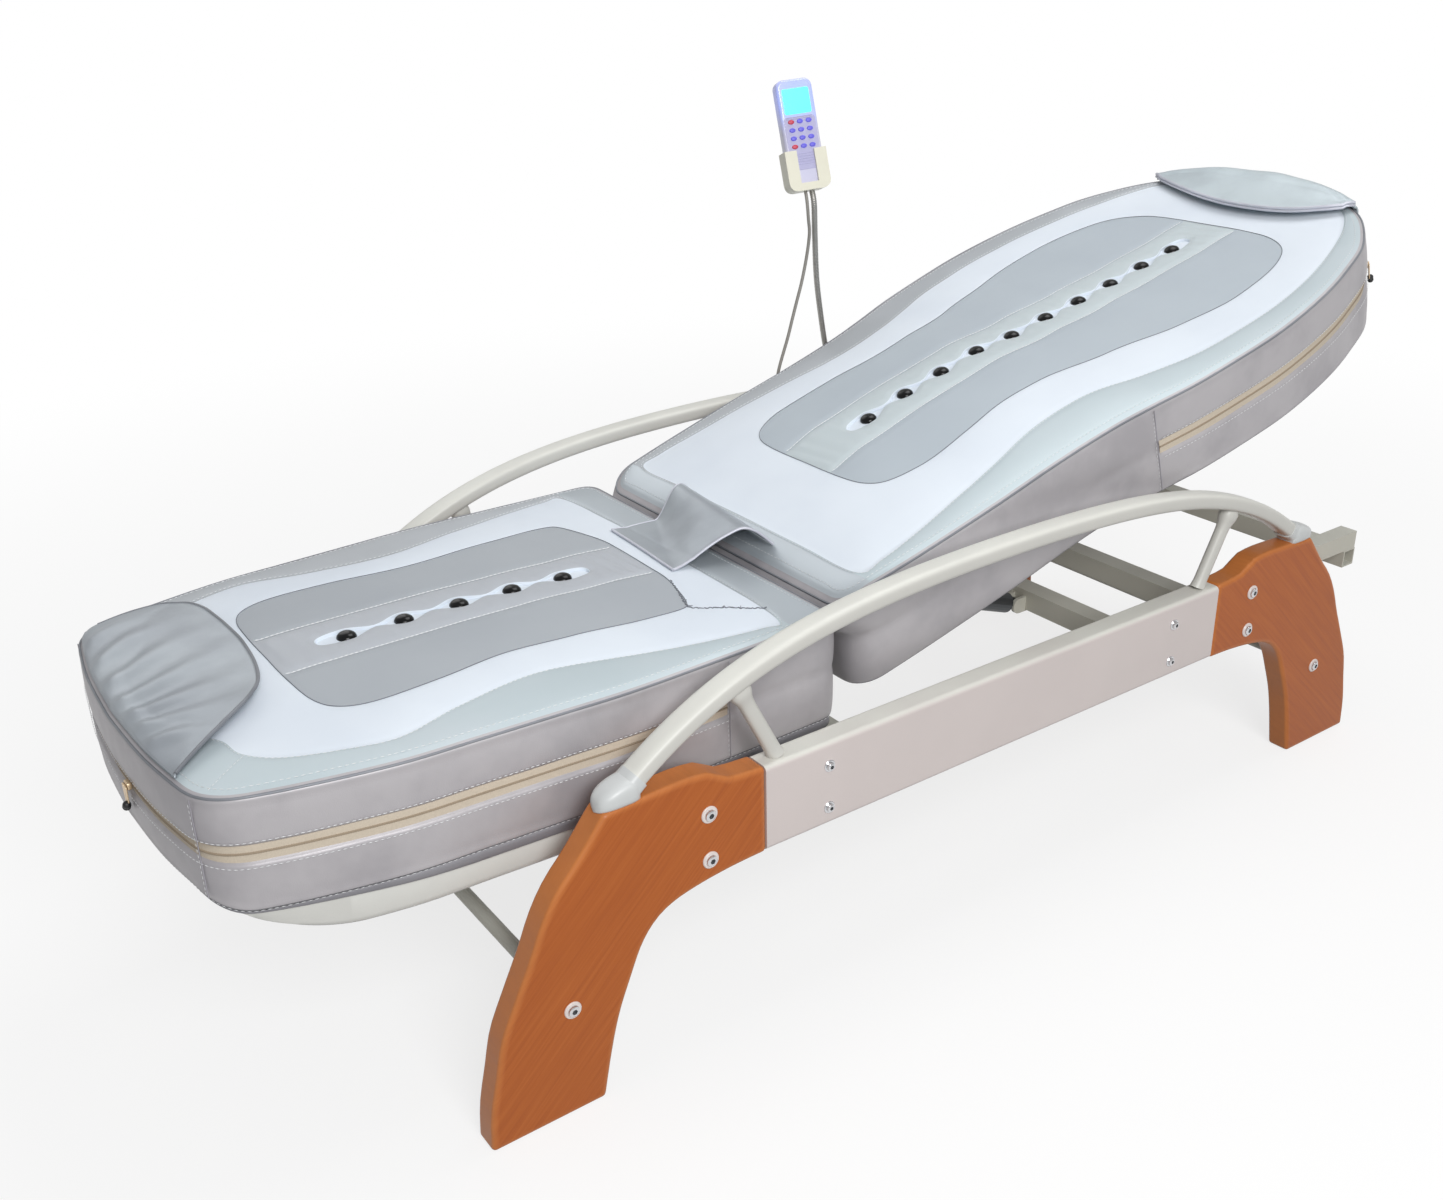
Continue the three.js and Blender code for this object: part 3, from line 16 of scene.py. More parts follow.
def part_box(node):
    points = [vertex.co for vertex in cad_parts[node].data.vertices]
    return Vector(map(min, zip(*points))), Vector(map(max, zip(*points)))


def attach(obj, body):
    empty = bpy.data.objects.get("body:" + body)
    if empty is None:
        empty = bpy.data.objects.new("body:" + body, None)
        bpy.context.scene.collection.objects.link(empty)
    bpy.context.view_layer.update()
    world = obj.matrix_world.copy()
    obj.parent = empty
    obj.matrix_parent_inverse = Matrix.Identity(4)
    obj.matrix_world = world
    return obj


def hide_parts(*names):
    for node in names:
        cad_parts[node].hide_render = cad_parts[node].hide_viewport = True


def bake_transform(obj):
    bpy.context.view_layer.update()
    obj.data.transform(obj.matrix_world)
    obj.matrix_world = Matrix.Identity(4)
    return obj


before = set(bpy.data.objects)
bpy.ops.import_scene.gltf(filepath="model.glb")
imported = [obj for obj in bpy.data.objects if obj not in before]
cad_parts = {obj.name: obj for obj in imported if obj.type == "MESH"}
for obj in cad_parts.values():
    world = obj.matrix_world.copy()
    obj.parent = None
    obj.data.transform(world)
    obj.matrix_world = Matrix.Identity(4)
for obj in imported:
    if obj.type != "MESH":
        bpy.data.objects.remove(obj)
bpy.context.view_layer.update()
LOG = logging.getLogger("massage_bed")
MM = 0.001
TURN = 2 * math.pi
LATHE_SIDES = 24
RAIL_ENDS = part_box("rail_near")
MIDDLE_X = (RAIL_ENDS[0].x + RAIL_ENDS[1].x) / 2

Array = np.ndarray
Pair = tuple[float, float]
Triple = tuple[float, float, float]
Colour = tuple[float, float, float, float]


def paint(red: int, green: int, blue: int) -> Colour:
    """Linear colour of a screen colour: each channel is divided by 255 and unbent by 2.2.

    Args:
        red, green, blue: channels from 0 to 255.

    Returns:
        The linear colour with full opacity.
    """
    return tuple((channel / 255) ** 2.2 for channel in (red, green, blue)) + (1.0,)


def darkened(tone: Colour, share: float) -> Colour:
    """Colour with its channels times a share."""
    return tuple(share * channel for channel in tone[:3]) + (1.0,)


# node recipes


class Wire:
    """A value that runs through a node tree. Its operators add Math nodes."""

    def __init__(self, recipe: "Recipe", socket: bpy.types.NodeSocket) -> None:
        """Keep the recipe and the output socket."""
        self.recipe = recipe
        self.socket = socket

    def maths(self, operation: str, *values: "float | Wire") -> "Wire":
        """Wire of one Math node on the values given."""
        return self.recipe.node("ShaderNodeMath", {"operation": operation}, dict(enumerate(values)))

    def __add__(self, other: "float | Wire") -> "Wire":
        """Sum of this value and another."""
        return self.maths("ADD", self, other)

    __radd__ = __add__

    def __sub__(self, other: "float | Wire") -> "Wire":
        """This value less another."""
        return self.maths("SUBTRACT", self, other)

    def __rsub__(self, other: "float | Wire") -> "Wire":
        """Another value less this one."""
        return self.maths("SUBTRACT", other, self)

    def __mul__(self, other: "float | Wire") -> "Wire":
        """Product of this value and another."""
        return self.maths("MULTIPLY", self, other)

    __rmul__ = __mul__

    def __truediv__(self, other: "float | Wire") -> "Wire":
        """This value divided by another."""
        return self.maths("DIVIDE", self, other)

    def __rtruediv__(self, other: "float | Wire") -> "Wire":
        """Another value divided by this one."""
        return self.maths("DIVIDE", other, self)

    def sine(self) -> "Wire":
        """Sine of this value."""
        return self.maths("SINE", self)

    def floor(self) -> "Wire":
        """Whole number at or below this value."""
        return self.maths("FLOOR", self)

    def between(self, low: float, high: float) -> "Wire":
        """Share from 0 at low to 1 at high, eased at both ends."""
        settings = {"interpolation_type": "SMOOTHSTEP", "clamp": True}
        return self.recipe.node("ShaderNodeMapRange", settings, {0: self, 1: low, 2: high})


class Recipe:
    """Node tree of one material or world."""

    def __init__(self, owner: bpy.types.Material | bpy.types.World) -> None:
        """Start with an empty tree in its owner."""
        owner.use_nodes = True
        self.tree = owner.node_tree
        self.tree.nodes.clear()

    def node(
        self,
        kind: str,
        settings: dict[str, object],
        sockets: dict[str | int, object],
        output: int | str = 0,
    ) -> Wire:
        """Add one node.

        Args:
            kind: the node's type.
            settings: its properties, and "stops" for a colour ramp.
            sockets: values or wires of its inputs.
            output: the output that is carried on.

        Returns:
            The wire of that output.
        """
        made = self.tree.nodes.new(kind)
        for key, value in settings.items():
            if key == "stops":
                self.set_stops(made.color_ramp, value)
            else:
                setattr(made, key, value)
        for key, value in sockets.items():
            if isinstance(value, Wire):
                self.tree.links.new(value.socket, made.inputs[key])
            else:
                made.inputs[key].default_value = value
        return Wire(self, made.outputs[output]) if len(made.outputs) else Wire(self, None)

    def set_stops(self, ramp: bpy.types.ColorRamp, stops: Sequence[tuple[float, Colour]]) -> None:
        """Give a colour ramp its stops.

        Args:
            ramp: the ramp.
            stops: places from 0 to 1, each with its colour.
        """
        while len(ramp.elements) < len(stops):
            ramp.elements.new(0.5)
        for element, (place, colour) in zip(ramp.elements, stops):
            element.position = place
            element.color = colour

    def coordinates(self, scale: Sequence[float] = (1, 1, 1), turn: Sequence[float] = (0, 0, 0)) -> Wire:
        """Object coordinates in metres.

        Args:
            scale: factors of the three coordinates, after the turn.
            turn: angles in radians by which they are turned.

        Returns:
            The wire of the coordinates.
        """
        bare = self.node("ShaderNodeTexCoord", {}, {}, "Object")
        settings = {"vector_type": "POINT"}
        turned = self.node("ShaderNodeMapping", settings, {"Vector": bare, "Rotation": turn})
        return self.node("ShaderNodeMapping", settings, {"Vector": turned, "Scale": scale})

    def attribute(self, name: str, output: str = "Vector") -> Wire:
        """Wire of a named attribute of the piece."""
        return self.node("ShaderNodeAttribute", {"attribute_name": name}, {}, output)

    def axis(self, vector: Wire, index: int) -> Wire:
        """One coordinate of a vector."""
        return self.node("ShaderNodeSeparateXYZ", {}, {0: vector}, index)

    def noise(self, vector: Wire, scale: float, detail: float = 2, roughness: float = 0.5) -> Wire:
        """Noise from 0 to 1 on a vector."""
        sockets = {"Vector": vector, "Scale": scale, "Detail": detail, "Roughness": roughness}
        return self.node("ShaderNodeTexNoise", {}, sockets)

    def cells(self, vector: Wire, scale: float) -> Wire:
        """Distance to the nearest cell point, for a grain of small pebbles."""
        return self.node("ShaderNodeTexVoronoi", {}, {"Vector": vector, "Scale": scale})

    def mix(self, first: "Colour | Wire", second: "Colour | Wire", share: "float | Wire") -> Wire:
        """Colour between two, by a share from 0 to 1."""
        return self.node("ShaderNodeMix", {"data_type": "RGBA"}, {0: share, 6: first, 7: second}, 2)

    def bump(self, height: Wire, distance: float, strength: float = 1, under: Wire | None = None) -> Wire:
        """Normal of a height field.

        Args:
            height: the field.
            distance: height in metres of a full step.
            strength: share of the effect.
            under: normal of a coarser or finer relief that is kept.

        Returns:
            The wire of the normal.
        """
        sockets = {"Height": height, "Distance": distance, "Strength": strength}
        if under is not None:
            sockets["Normal"] = under
        return self.node("ShaderNodeBump", {}, sockets)

    def surface(self, **sockets: object) -> None:
        """Principled surface from socket values or wires, named with _ for each space."""
        named = {key.replace("_", " "): value for key, value in sockets.items()}
        shader = self.node("ShaderNodeBsdfPrincipled", {}, named)
        self.node("ShaderNodeOutputMaterial", {}, {"Surface": shader})


@dataclass(frozen=True)
class Finish:
    """A surface finish, made into a material the first time it is used."""

    name: str

    def material(self) -> bpy.types.Material:
        """Material of this finish.

        Returns:
            The one made before, or a new one.
        """
        known = bpy.data.materials.get(f"finish_{self.name}")
        if known is not None:
            return known
        material = bpy.data.materials.new(f"finish_{self.name}")
        self.lay(Recipe(material))
        return material

    def lay(self, recipe: Recipe) -> None:
        """Build the nodes. Each finish has its own.

        Args:
            recipe: node tree that the nodes are added to.
        """
        raise NotImplementedError


@dataclass(frozen=True)
class PowderCoat(Finish):
    """Sprayed paint: a faint orange peel, with painted light: a lighter tone where it faces up and painted
    shade on its sides.
    """

    # side and top: painted shade for faces that look sideways, painted light for faces that look up
    side: Colour = paint(212, 202, 199)
    top: Colour = paint(222, 222, 214)
    gloss: float = 0.38

    def lay(self, recipe: Recipe) -> None:
        """Painted light by the way a face looks, lighter facing up, clouded a little, over a fine peel.

        Args:
            recipe: node tree that the nodes are added to.
        """
        place = recipe.coordinates()
        # painted light: the tone runs from the shaded side colour to the lit top colour as the face turns up
        facing_up_light = recipe.axis(recipe.node("ShaderNodeNewGeometry", {}, {}, "Normal"), 2)
        tone = recipe.mix(self.side, self.top, facing_up_light.between(0.2, 0.9))
        cloud = recipe.noise(place, 9, 3).between(0.3, 0.8)
        dull = recipe.mix(tone, darkened(self.side, 0.9), cloud * 0.35)
        peel = recipe.noise(place, 420, 1)
        recipe.surface(Base_Color=dull, Roughness=self.gloss + 0.08 * recipe.noise(place, 30, 2),
                       Specular_IOR_Level=0.5, Normal=recipe.bump(peel, 0.0003, 0.25))


@dataclass(frozen=True)
class VarnishedWood(Finish):
    """Orange-brown varnished planks with a straight slanting grain and rounded edges made paler by a painted
    highlight.
    """

    lean: float = -0.8
    dark: Colour = paint(158, 80, 30)
    middle: Colour = paint(176, 94, 38)
    light: Colour = paint(190, 108, 50)
    # edge: paler tone of the painted highlight on the rounded edges
    edge: Colour = paint(214, 142, 86)
    plank: float = 0.085

    def lay(self, recipe: Recipe) -> None:
        """Grain stretched along the planks, one tone a plank, and the painted highlight of the edges on top.

        Args:
            recipe: node tree that the nodes are added to.
        """
        turned = recipe.coordinates(turn=(0, self.lean, 0))
        across = recipe.axis(turned, 0)
        plank = (across / self.plank + 0.35).floor()
        shift = recipe.node(
            "ShaderNodeTexWhiteNoise", {"noise_dimensions": "1D"}, {"W": plank}, "Value")
        stretched = recipe.coordinates((62, 8, 2.0), (0, self.lean, 0))
        fibre = recipe.noise(stretched, 3.2, 6, 0.62)
        pores = recipe.noise(recipe.coordinates((900, 300, 26), (0, self.lean, 0)), 1, 2)
        grain = recipe.node("ShaderNodeValToRGB", {"stops": [
            (0.25, self.dark), (0.5, self.middle), (0.78, self.light)]}, {0: fibre})
        toned = recipe.mix(grain, self.dark, shift * 0.34)
        pored = recipe.mix(toned, self.dark, pores.between(0.62, 0.8) * 0.5)
        # painted highlight: the rounded edges are mixed towards the paler edge tone
        worn = recipe.attribute("worn", "Fac")
        pale = recipe.mix(pored, self.edge, worn * 0.45)
        recipe.surface(Base_Color=pale, Roughness=0.36 + 0.14 * fibre, Specular_IOR_Level=0.3,
                       Coat_Weight=0.1, Coat_Roughness=0.25, Normal=recipe.bump(pores, 0.0004, 0.3))


@dataclass(frozen=True)
class Leather(Finish):
    """Metallic imitation leather: a pebbled grain with soft creases and a satin sheen."""

    tone: Colour = paint(182, 179, 182)
    shade: Colour = paint(164, 161, 165)
    gloss: float = 0.38
    metal: float = 0.22
    crease: float = 0.0012

    def lay(self, recipe: Recipe) -> None:
        """Clouded silver tone over pebbles and broad creases.

        Args:
            recipe: node tree that the nodes are added to.
        """
        place = recipe.coordinates()
        cloud = recipe.noise(place, 7, 4, 0.6)
        colour = recipe.mix(self.tone, self.shade, cloud.between(0.35, 0.7))
        pebbles = recipe.cells(place, 850)
        creases = recipe.noise(recipe.coordinates((1, 1, 0.6)), 24, 3, 0.55)
        fine = recipe.bump(pebbles, 0.00025, 0.35)
        recipe.surface(Base_Color=colour, Metallic=self.metal,
                       Roughness=self.gloss + 0.14 * recipe.noise(place, 40, 3),
                       Normal=recipe.bump(creases, self.crease, 0.55, fine))


@dataclass(frozen=True)
class BorderCloth(Finish):
    """Pale satin cloth of the mats' borders, with painted sheen: lighter on the near side of the bed and
    greyer on the far side.
    """

    # near and far: painted sheen, lighter where the near side catches the light and greyer on the far side
    near: Colour = paint(185, 198, 203)
    far: Colour = paint(168, 173, 178)
    cloud: Colour = paint(210, 214, 220)
    strip: Colour = paint(184, 192, 198)
    strip_from: float = -0.319
    strip_to: float = -0.137
    reach: float = 0.22

    def lay(self, recipe: Recipe) -> None:
        """Painted sheen as a tone along the width, with a fine twill.

        Args:
            recipe: node tree that the nodes are added to.
        """
        place = recipe.coordinates()
        # painted sheen: the tone runs from the near colour to the far colour across the bed
        side = recipe.axis(place, 1).between(-self.reach, self.reach)
        cloud = recipe.noise(place, 6, 3).between(0.35, 0.75)
        painted_sheen_tone = recipe.mix(recipe.mix(self.near, self.far, side), self.cloud, cloud * 0.25)
        spot = recipe.axis(recipe.attribute("cloth"), 0)
        inside = spot.between(self.strip_from - 0.001, self.strip_from) * (
            1 - spot.between(self.strip_to, self.strip_to + 0.001))
        tone = recipe.mix(painted_sheen_tone, self.strip, inside)
        twill = recipe.noise(recipe.coordinates((1, 1.7, 1)), 700, 2)
        creases = recipe.noise(place, 18, 3)
        recipe.surface(Base_Color=tone, Metallic=0.12 + 0.3 * inside,
                       Roughness=0.42 + 0.12 * cloud - 0.08 * inside,
                       Normal=recipe.bump(creases, 0.0015, 0.4, recipe.bump(twill, 0.0002, 0.3)))


@dataclass(frozen=True)
class WovenCloth(Finish):
    """Matte woven cloth of one tone, with a plain weave that follows the mat."""

    tone: Colour = paint(226, 234, 243)
    shade: Colour = paint(212, 221, 232)
    thread: float = 0.0011
    rough: float = 0.78
    strip: Colour | None = None
    strip_half: float = 0.054

    def lay(self, recipe: Recipe) -> None:
        """Weave from crossed sines of the cloth's own place, over a soft cloud of tone.

        Args:
            recipe: node tree that the nodes are added to.
        """
        place = recipe.attribute("cloth")
        pitch = TURN / self.thread
        across = (recipe.axis(place, 0) * pitch).sine()
        along = (recipe.axis(place, 1) * pitch).sine()
        cloud = recipe.noise(place, 5, 3).between(0.3, 0.75)
        colour = recipe.mix(self.tone, self.shade, cloud * 0.6)
        inside = 0.0
        if self.strip is not None:
            width = recipe.axis(place, 1)
            inside = 1 - width.maths("ABSOLUTE", width).between(self.strip_half - 0.0006, self.strip_half)
            colour = recipe.mix(colour, self.strip, inside)
        creases = recipe.noise(place, 14, 3)
        weave = recipe.bump(across * along, 0.00012, 0.3)
        recipe.surface(Base_Color=colour,
                       Roughness=self.rough + 0.1 * recipe.noise(place, 60, 2) - 0.3 * inside,
                       Sheen_Weight=0.15, Sheen_Roughness=0.5,
                       Normal=recipe.bump(creases, 0.002, 0.3, weave))


@dataclass(frozen=True)
class Polished(Finish):
    """Hard glossy surface of one tone with faint smears, such as stone or chrome."""

    tone: Colour = paint(10, 10, 12)
    metal: float = 0.0
    gloss: float = 0.07
    smear: float = 0.1
    shine: float = 0.5

    def lay(self, recipe: Recipe) -> None:
        """Smears in the roughness and a trace of them in the tone.

        Args:
            recipe: node tree that the nodes are added to.
        """
        place = recipe.coordinates()
        smears = recipe.noise(place, 90, 3)
        lighter = tuple(min(1.0, 1.25 * c + 0.002) for c in self.tone[:3]) + (1.0,)
        recipe.surface(Base_Color=recipe.mix(self.tone, lighter, smears), Metallic=self.metal,
                       Roughness=self.gloss + self.smear * smears, Specular_IOR_Level=self.shine,
                       Normal=recipe.bump(recipe.noise(place, 300, 1), 0.0001, 0.15))


@dataclass(frozen=True)
class Moulded(Finish):
    """Moulded plastic or rubber: one tone, slightly clouded, with a fine spark texture."""

    tone: Colour = paint(238, 238, 236)
    gloss: float = 0.35
    depth: float = 0.12
    glow: Colour = (0.0, 0.0, 0.0, 1.0)
    glow_strength: float = 0.0

    def lay(self, recipe: Recipe) -> None:
        """Clouded tone over a fine texture, with a steady glow where one is given.

        Args:
            recipe: node tree that the nodes are added to.
        """
        place = recipe.coordinates()
        cloud = recipe.noise(place, 35, 3)
        darker = darkened(self.tone, 1 - self.depth)
        recipe.surface(Base_Color=recipe.mix(self.tone, darker, cloud), Roughness=self.gloss + 0.1 * cloud,
                       Emission_Color=self.glow, Emission_Strength=self.glow_strength,
                       Normal=recipe.bump(recipe.noise(place, 1400, 1), 0.0001, 0.2))


@dataclass(frozen=True)
class GlowingShell(Finish):
    """Clear lavender plastic that glows round the lit screen and turns milky below it."""

    centre: Triple = (0.0, 0.0, 0.0)
    core: float = 0.016
    reach: float = 0.062
    milky: Colour = paint(206, 205, 230)
    lit: Colour = paint(172, 190, 244)
    glow: Colour = paint(120, 130, 250)
    glow_strength: float = 0.35

    def lay(self, recipe: Recipe) -> None:
        """Glow that falls off with the distance from the screen's middle.

        Args:
            recipe: node tree that the nodes are added to.
        """
        place = recipe.coordinates()
        settings = {"operation": "DISTANCE"}
        away = recipe.node("ShaderNodeVectorMath", settings, {0: place, 1: self.centre}, "Value")
        near = 1 - away.between(self.core, self.reach)
        recipe.surface(Base_Color=recipe.mix(self.milky, self.lit, near),
                       Roughness=0.2 + 0.1 * recipe.noise(place, 60, 2), Coat_Weight=0.3,
                       Emission_Color=recipe.mix((0, 0, 0, 1), self.glow, near),
                       Emission_Strength=self.glow_strength,
                       Normal=recipe.bump(recipe.noise(place, 900, 1), 0.0001, 0.2))


@dataclass(frozen=True)
class Thread(Finish):
    """Sewing thread or zip tape, twisted and matte."""

    tone: Colour = paint(236, 238, 240)
    rib: float = 900.0

    def lay(self, recipe: Recipe) -> None:
        """Fine twist with a little unevenness of tone.

        Args:
            recipe: node tree that the nodes are added to.
        """
        place = recipe.coordinates()
        twist = recipe.noise(place, self.rib, 2)
        darker = darkened(self.tone, 0.78)
        recipe.surface(Base_Color=recipe.mix(self.tone, darker, twist), Roughness=0.7 + 0.15 * twist,
                       Normal=recipe.bump(twist, 0.0002, 0.4))


@dataclass(frozen=True)
class Plywood(Finish):
    """Pale birch ply of the hidden base board."""

    tone: Colour = paint(190, 158, 112)

    def lay(self, recipe: Recipe) -> None:
        """Long soft figure along the bed.

        Args:
            recipe: node tree that the nodes are added to.
        """
        figure = recipe.noise(recipe.coordinates((3, 30, 30)), 2, 5, 0.6)
        darker = darkened(self.tone, 0.7)
        recipe.surface(Base_Color=recipe.mix(self.tone, darker, figure), Roughness=0.6 + 0.2 * figure,
                       Normal=recipe.bump(figure, 0.0006, 0.3))


class Look(Enum):
    """The finishes that the bed's pieces are dressed in."""

    PAINT = PowderCoat("paint")
    BOW = PowderCoat("bow", paint(204, 203, 197), paint(220, 220, 213), 0.34)
    INNER_PAINT = PowderCoat("inner_paint", paint(196, 194, 182), paint(206, 206, 196), 0.42)
    WOOD = VarnishedWood("wood")
    WOOD_BACK = VarnishedWood("wood_back", lean=0.8)
    LEATHER = Leather("leather")
    FLAP = Leather("flap", paint(166, 173, 179), paint(152, 158, 165), 0.3, 0.35, 0.0014)
    PILLOW = Leather("pillow", paint(196, 208, 213), paint(180, 191, 197), 0.28, 0.25, 0.0012)
    # welt under the foot mat: a band of underside cloth, dark grey as painted shade of the gap between mat
    # and tray
    SHADE_DARKENED_WELT = Leather("welt", paint(138, 137, 142), paint(124, 123, 128), 0.45, 0.2)
    BORDER = BorderCloth("border")
    WHITE_CLOTH = WovenCloth("white_cloth")
    FOOT_PANEL = WovenCloth("foot_panel", paint(170, 176, 182), paint(162, 168, 175), 0.0011, 0.74,
                            paint(175, 180, 187))
    HEAD_PANEL = WovenCloth("head_panel", paint(180, 190, 198), paint(171, 181, 190), 0.0011, 0.74,
                            paint(190, 201, 205))
    UNDERSIDE = WovenCloth("underside", paint(120, 120, 124), paint(104, 104, 110))
    STONE = Polished("stone", paint(6, 6, 8), gloss=0.12, smear=0.08, shine=0.28)
    CHROME = Polished("chrome", paint(196, 196, 198), 1.0, 0.14, 0.12)
    STEEL = Polished("steel", paint(150, 152, 156), 0.9, 0.28, 0.15)
    NECK = Polished("neck", paint(150, 148, 144), 0.75, 0.3, 0.15)
    DARK_STEEL = Polished("dark_steel", paint(70, 72, 74), 0.7, 0.38, 0.15)
    ZIP_METAL = Polished("zip_metal", paint(205, 182, 150), 0.7, 0.3, 0.15)
    CAP = Moulded("cap", paint(205, 208, 208), 0.28, 0.05)
    WASHER = Moulded("washer", paint(226, 216, 212), 0.3, 0.06)
    TRAY = Moulded("tray", paint(213, 213, 208), 0.34, 0.06)
    BLACK = Moulded("black", paint(20, 20, 22), 0.4)
    CREAM = Moulded("cream", paint(228, 225, 206), 0.3, 0.06)
    KEYPAD = Moulded("keypad", paint(182, 180, 216), 0.45, 0.05)
    RED_KEY = Moulded("red_key", paint(206, 70, 92), 0.35, 0.1)
    VIOLET_KEY = Moulded("violet_key", paint(104, 100, 212), 0.35, 0.1, paint(90, 80, 230), 0.15)
    SCREEN = Moulded("screen", paint(90, 225, 240), 0.12, 0.05, paint(96, 232, 250), 0.85)
    CORD = Moulded("cord", paint(152, 148, 142), 0.5)
    THREAD = Thread("thread")
    DARK_THREAD = Thread("dark_thread", paint(120, 124, 132))
    PIPING = Leather("piping", paint(132, 135, 141), paint(114, 117, 123), 0.4, 0.2, 0.0004)
    RIDGE = Leather("ridge", paint(172, 170, 178), paint(156, 153, 160), 0.4, 0.3, 0.0004)
    LIGHT_PIPING = Leather("light_piping", paint(198, 200, 210), paint(184, 186, 196), 0.35, 0.2, 0.0004)
    TAPE = Thread("tape", paint(216, 203, 184), 500.0)
    COIL = Thread("coil", paint(164, 148, 128), 700.0)
    PLY = Plywood("ply")


# meshes from arrays


@dataclass
class Shell:
    """Points in millimetres, the faces between them, and what they carry."""

    points: Array
    quads: Array
    caps: list[list[int]] = field(default_factory=list)
    slots: Array | None = None
    marks: dict[str, Array] = field(default_factory=dict)

    def dressed(self, slot: int) -> "Shell":
        """This shell with every face in one material slot."""
        self.slots = np.full(len(self.quads) + len(self.caps), slot)
        return self


def merged(shells: Sequence[Shell]) -> Shell:
    """One shell from several, each one's faces counted on from the points before it.

    Args:
        shells: the shells, of which some may have no slots or marks.

    Returns:
        The joined shell, with slot 0 and mark 0 where a shell has none.
    """
    starts = np.cumsum([0] + [len(shell.points) for shell in shells])
    quads = np.concatenate([shell.quads + start for shell, start in zip(shells, starts)])
    caps = [[i + int(start) for i in cap] for shell, start in zip(shells, starts) for cap in shell.caps]
    plain = [np.zeros(len(s.quads) + len(s.caps), int) if s.slots is None else s.slots for s in shells]
    pairs = list(zip(plain, shells))
    slots = np.concatenate([p[: len(s.quads)] for p, s in pairs] + [p[len(s.quads):] for p, s in pairs])
    marks = {
        key: np.concatenate([shell.marks.get(key, np.zeros(len(shell.points))) for shell in shells])
        for key in {key for shell in shells for key in shell.marks}
    }
    return Shell(np.concatenate([shell.points for shell in shells]), quads, caps, slots, marks)


def skin(rings: Array, closed: bool = True, capped: bool = True, looped: bool = False) -> Shell:
    """Surface through rings of equally many points: point k of each ring joins point k of the next.

    Args:
        rings: array of ring, point and coordinate.
        closed: whether each ring joins its own start.
        capped: whether the first and last rings are closed by a face.
        looped: whether the last ring joins the first.

    Returns:
        The shell.
    """
    count, size = rings.shape[:2]
    index = np.arange(count * size).reshape(count, size)
    across = np.concatenate([index, index[:, :1]], 1) if closed else index
    along = np.concatenate([across, across[:1]], 0) if looped else across
    quads = joined(along[:-1, :-1], along[:-1, 1:], along[1:, 1:], along[1:, :-1]).reshape(-1, 4)
    caps = [index[0][::-1].tolist(), index[-1].tolist()] if capped and closed and not looped else []
    return Shell(rings.reshape(-1, 3), quads, caps)


def curve_through(points: Sequence[Sequence[float]], count: int) -> Array:
    """Smooth curve through points: between two of them it is the cubic whose slope at each is half
    the step between that point's neighbours, and the end points count twice.

    Args:
        points: the points, in two or three coordinates.
        count: number of steps along the whole curve.

    Returns:
        Array of count + 1 points.
    """
    given = np.asarray(points, float)
    place = np.linspace(0, len(given) - 1, count + 1)
    low = np.minimum(place.astype(int), len(given) - 2)
    t = (place - low)[:, None]
    before, start = given[np.maximum(low - 1, 0)], given[low]
    end, after = given[low + 1], given[np.minimum(low + 2, len(given) - 1)]
    linear, square = end - before, 2 * before - 5 * start + 4 * end - after
    cube = 3 * start - before - 3 * end + after
    return 0.5 * (2 * start + linear * t + square * t**2 + cube * t**3)


def along_line(points: Array, places: Array) -> Array:
    """Points of a polyline by straight interpolation.

    Args:
        points: the polyline.
        places: distances from its start.

    Returns:
        One point for each distance.
    """
    steps = np.linalg.norm(np.diff(points, axis=0), axis=1)
    reach = np.concatenate([[0], np.cumsum(steps)])
    return np.stack([np.interp(places, reach, column) for column in points.T], -1)


def length_of(points: Array) -> float:
    """Length of a polyline."""
    return float(np.linalg.norm(np.diff(points, axis=0), axis=1).sum())


def resampled(points: Array, count: int) -> Array:
    """Polyline with count equal steps along its length."""
    return along_line(points, np.linspace(0, length_of(points), count + 1))


def unit(vectors: Array) -> Array:
    """Vectors divided by their lengths."""
    return vectors / np.maximum(np.linalg.norm(vectors, axis=-1, keepdims=True), 1e-12)


def swept(path: Array, section: Array, side: Sequence[float], scale: Array | None = None,
          capped: bool = True, looped: bool = False) -> Shell:
    """Section carried along a path: point = path + u (side x tangent) + v side', where side' is
    the side direction made square to the path.

    Args:
        path: points of the path.
        section: outline in u and v.
        side: direction of v, or one for each point of the path.
        scale: size of the section at each point of the path.
        capped: whether the ends are closed.
        looped: whether the path is a closed loop.

    Returns:
        The shell.
    """
    if looped:
        tangent = unit(np.roll(path, -1, 0) - np.roll(path, 1, 0))
    else:
        tangent = unit(np.gradient(path, axis=0))
    sides = np.broadcast_to(np.asarray(side, float), path.shape)
    across = unit(np.cross(sides, tangent))
    square = np.cross(tangent, across)
    size = np.ones(len(path)) if scale is None else scale
    u = section[None, :, 0, None] * size[:, None, None]
    v = section[None, :, 1, None] * size[:, None, None]
    rings = path[:, None] + u * across[:, None] + v * square[:, None]
    return skin(rings, True, capped, looped)


def round_section(radius: float, sides: int) -> Array:
    """Circle of a radius as so many points."""
    angle = np.arange(sides) / sides * TURN
    return radius * joined(np.cos(angle), np.sin(angle))


def oval_section(width: float, height: float, sides: int, squareness: float = 0.8) -> Array:
    """Flat oval: half sizes times the cosine and sine of an angle, each raised to a power below 1.

    Args:
        width, height: whole sizes.
        sides: number of points.
        squareness: the power.

    Returns:
        The outline.
    """
    angle = (np.arange(sides) + 0.5) / sides * TURN
    bent = [np.sign(f(angle)) * np.abs(f(angle)) ** squareness for f in (np.cos, np.sin)]
    return joined(bent[0] * width / 2, bent[1] * height / 2)


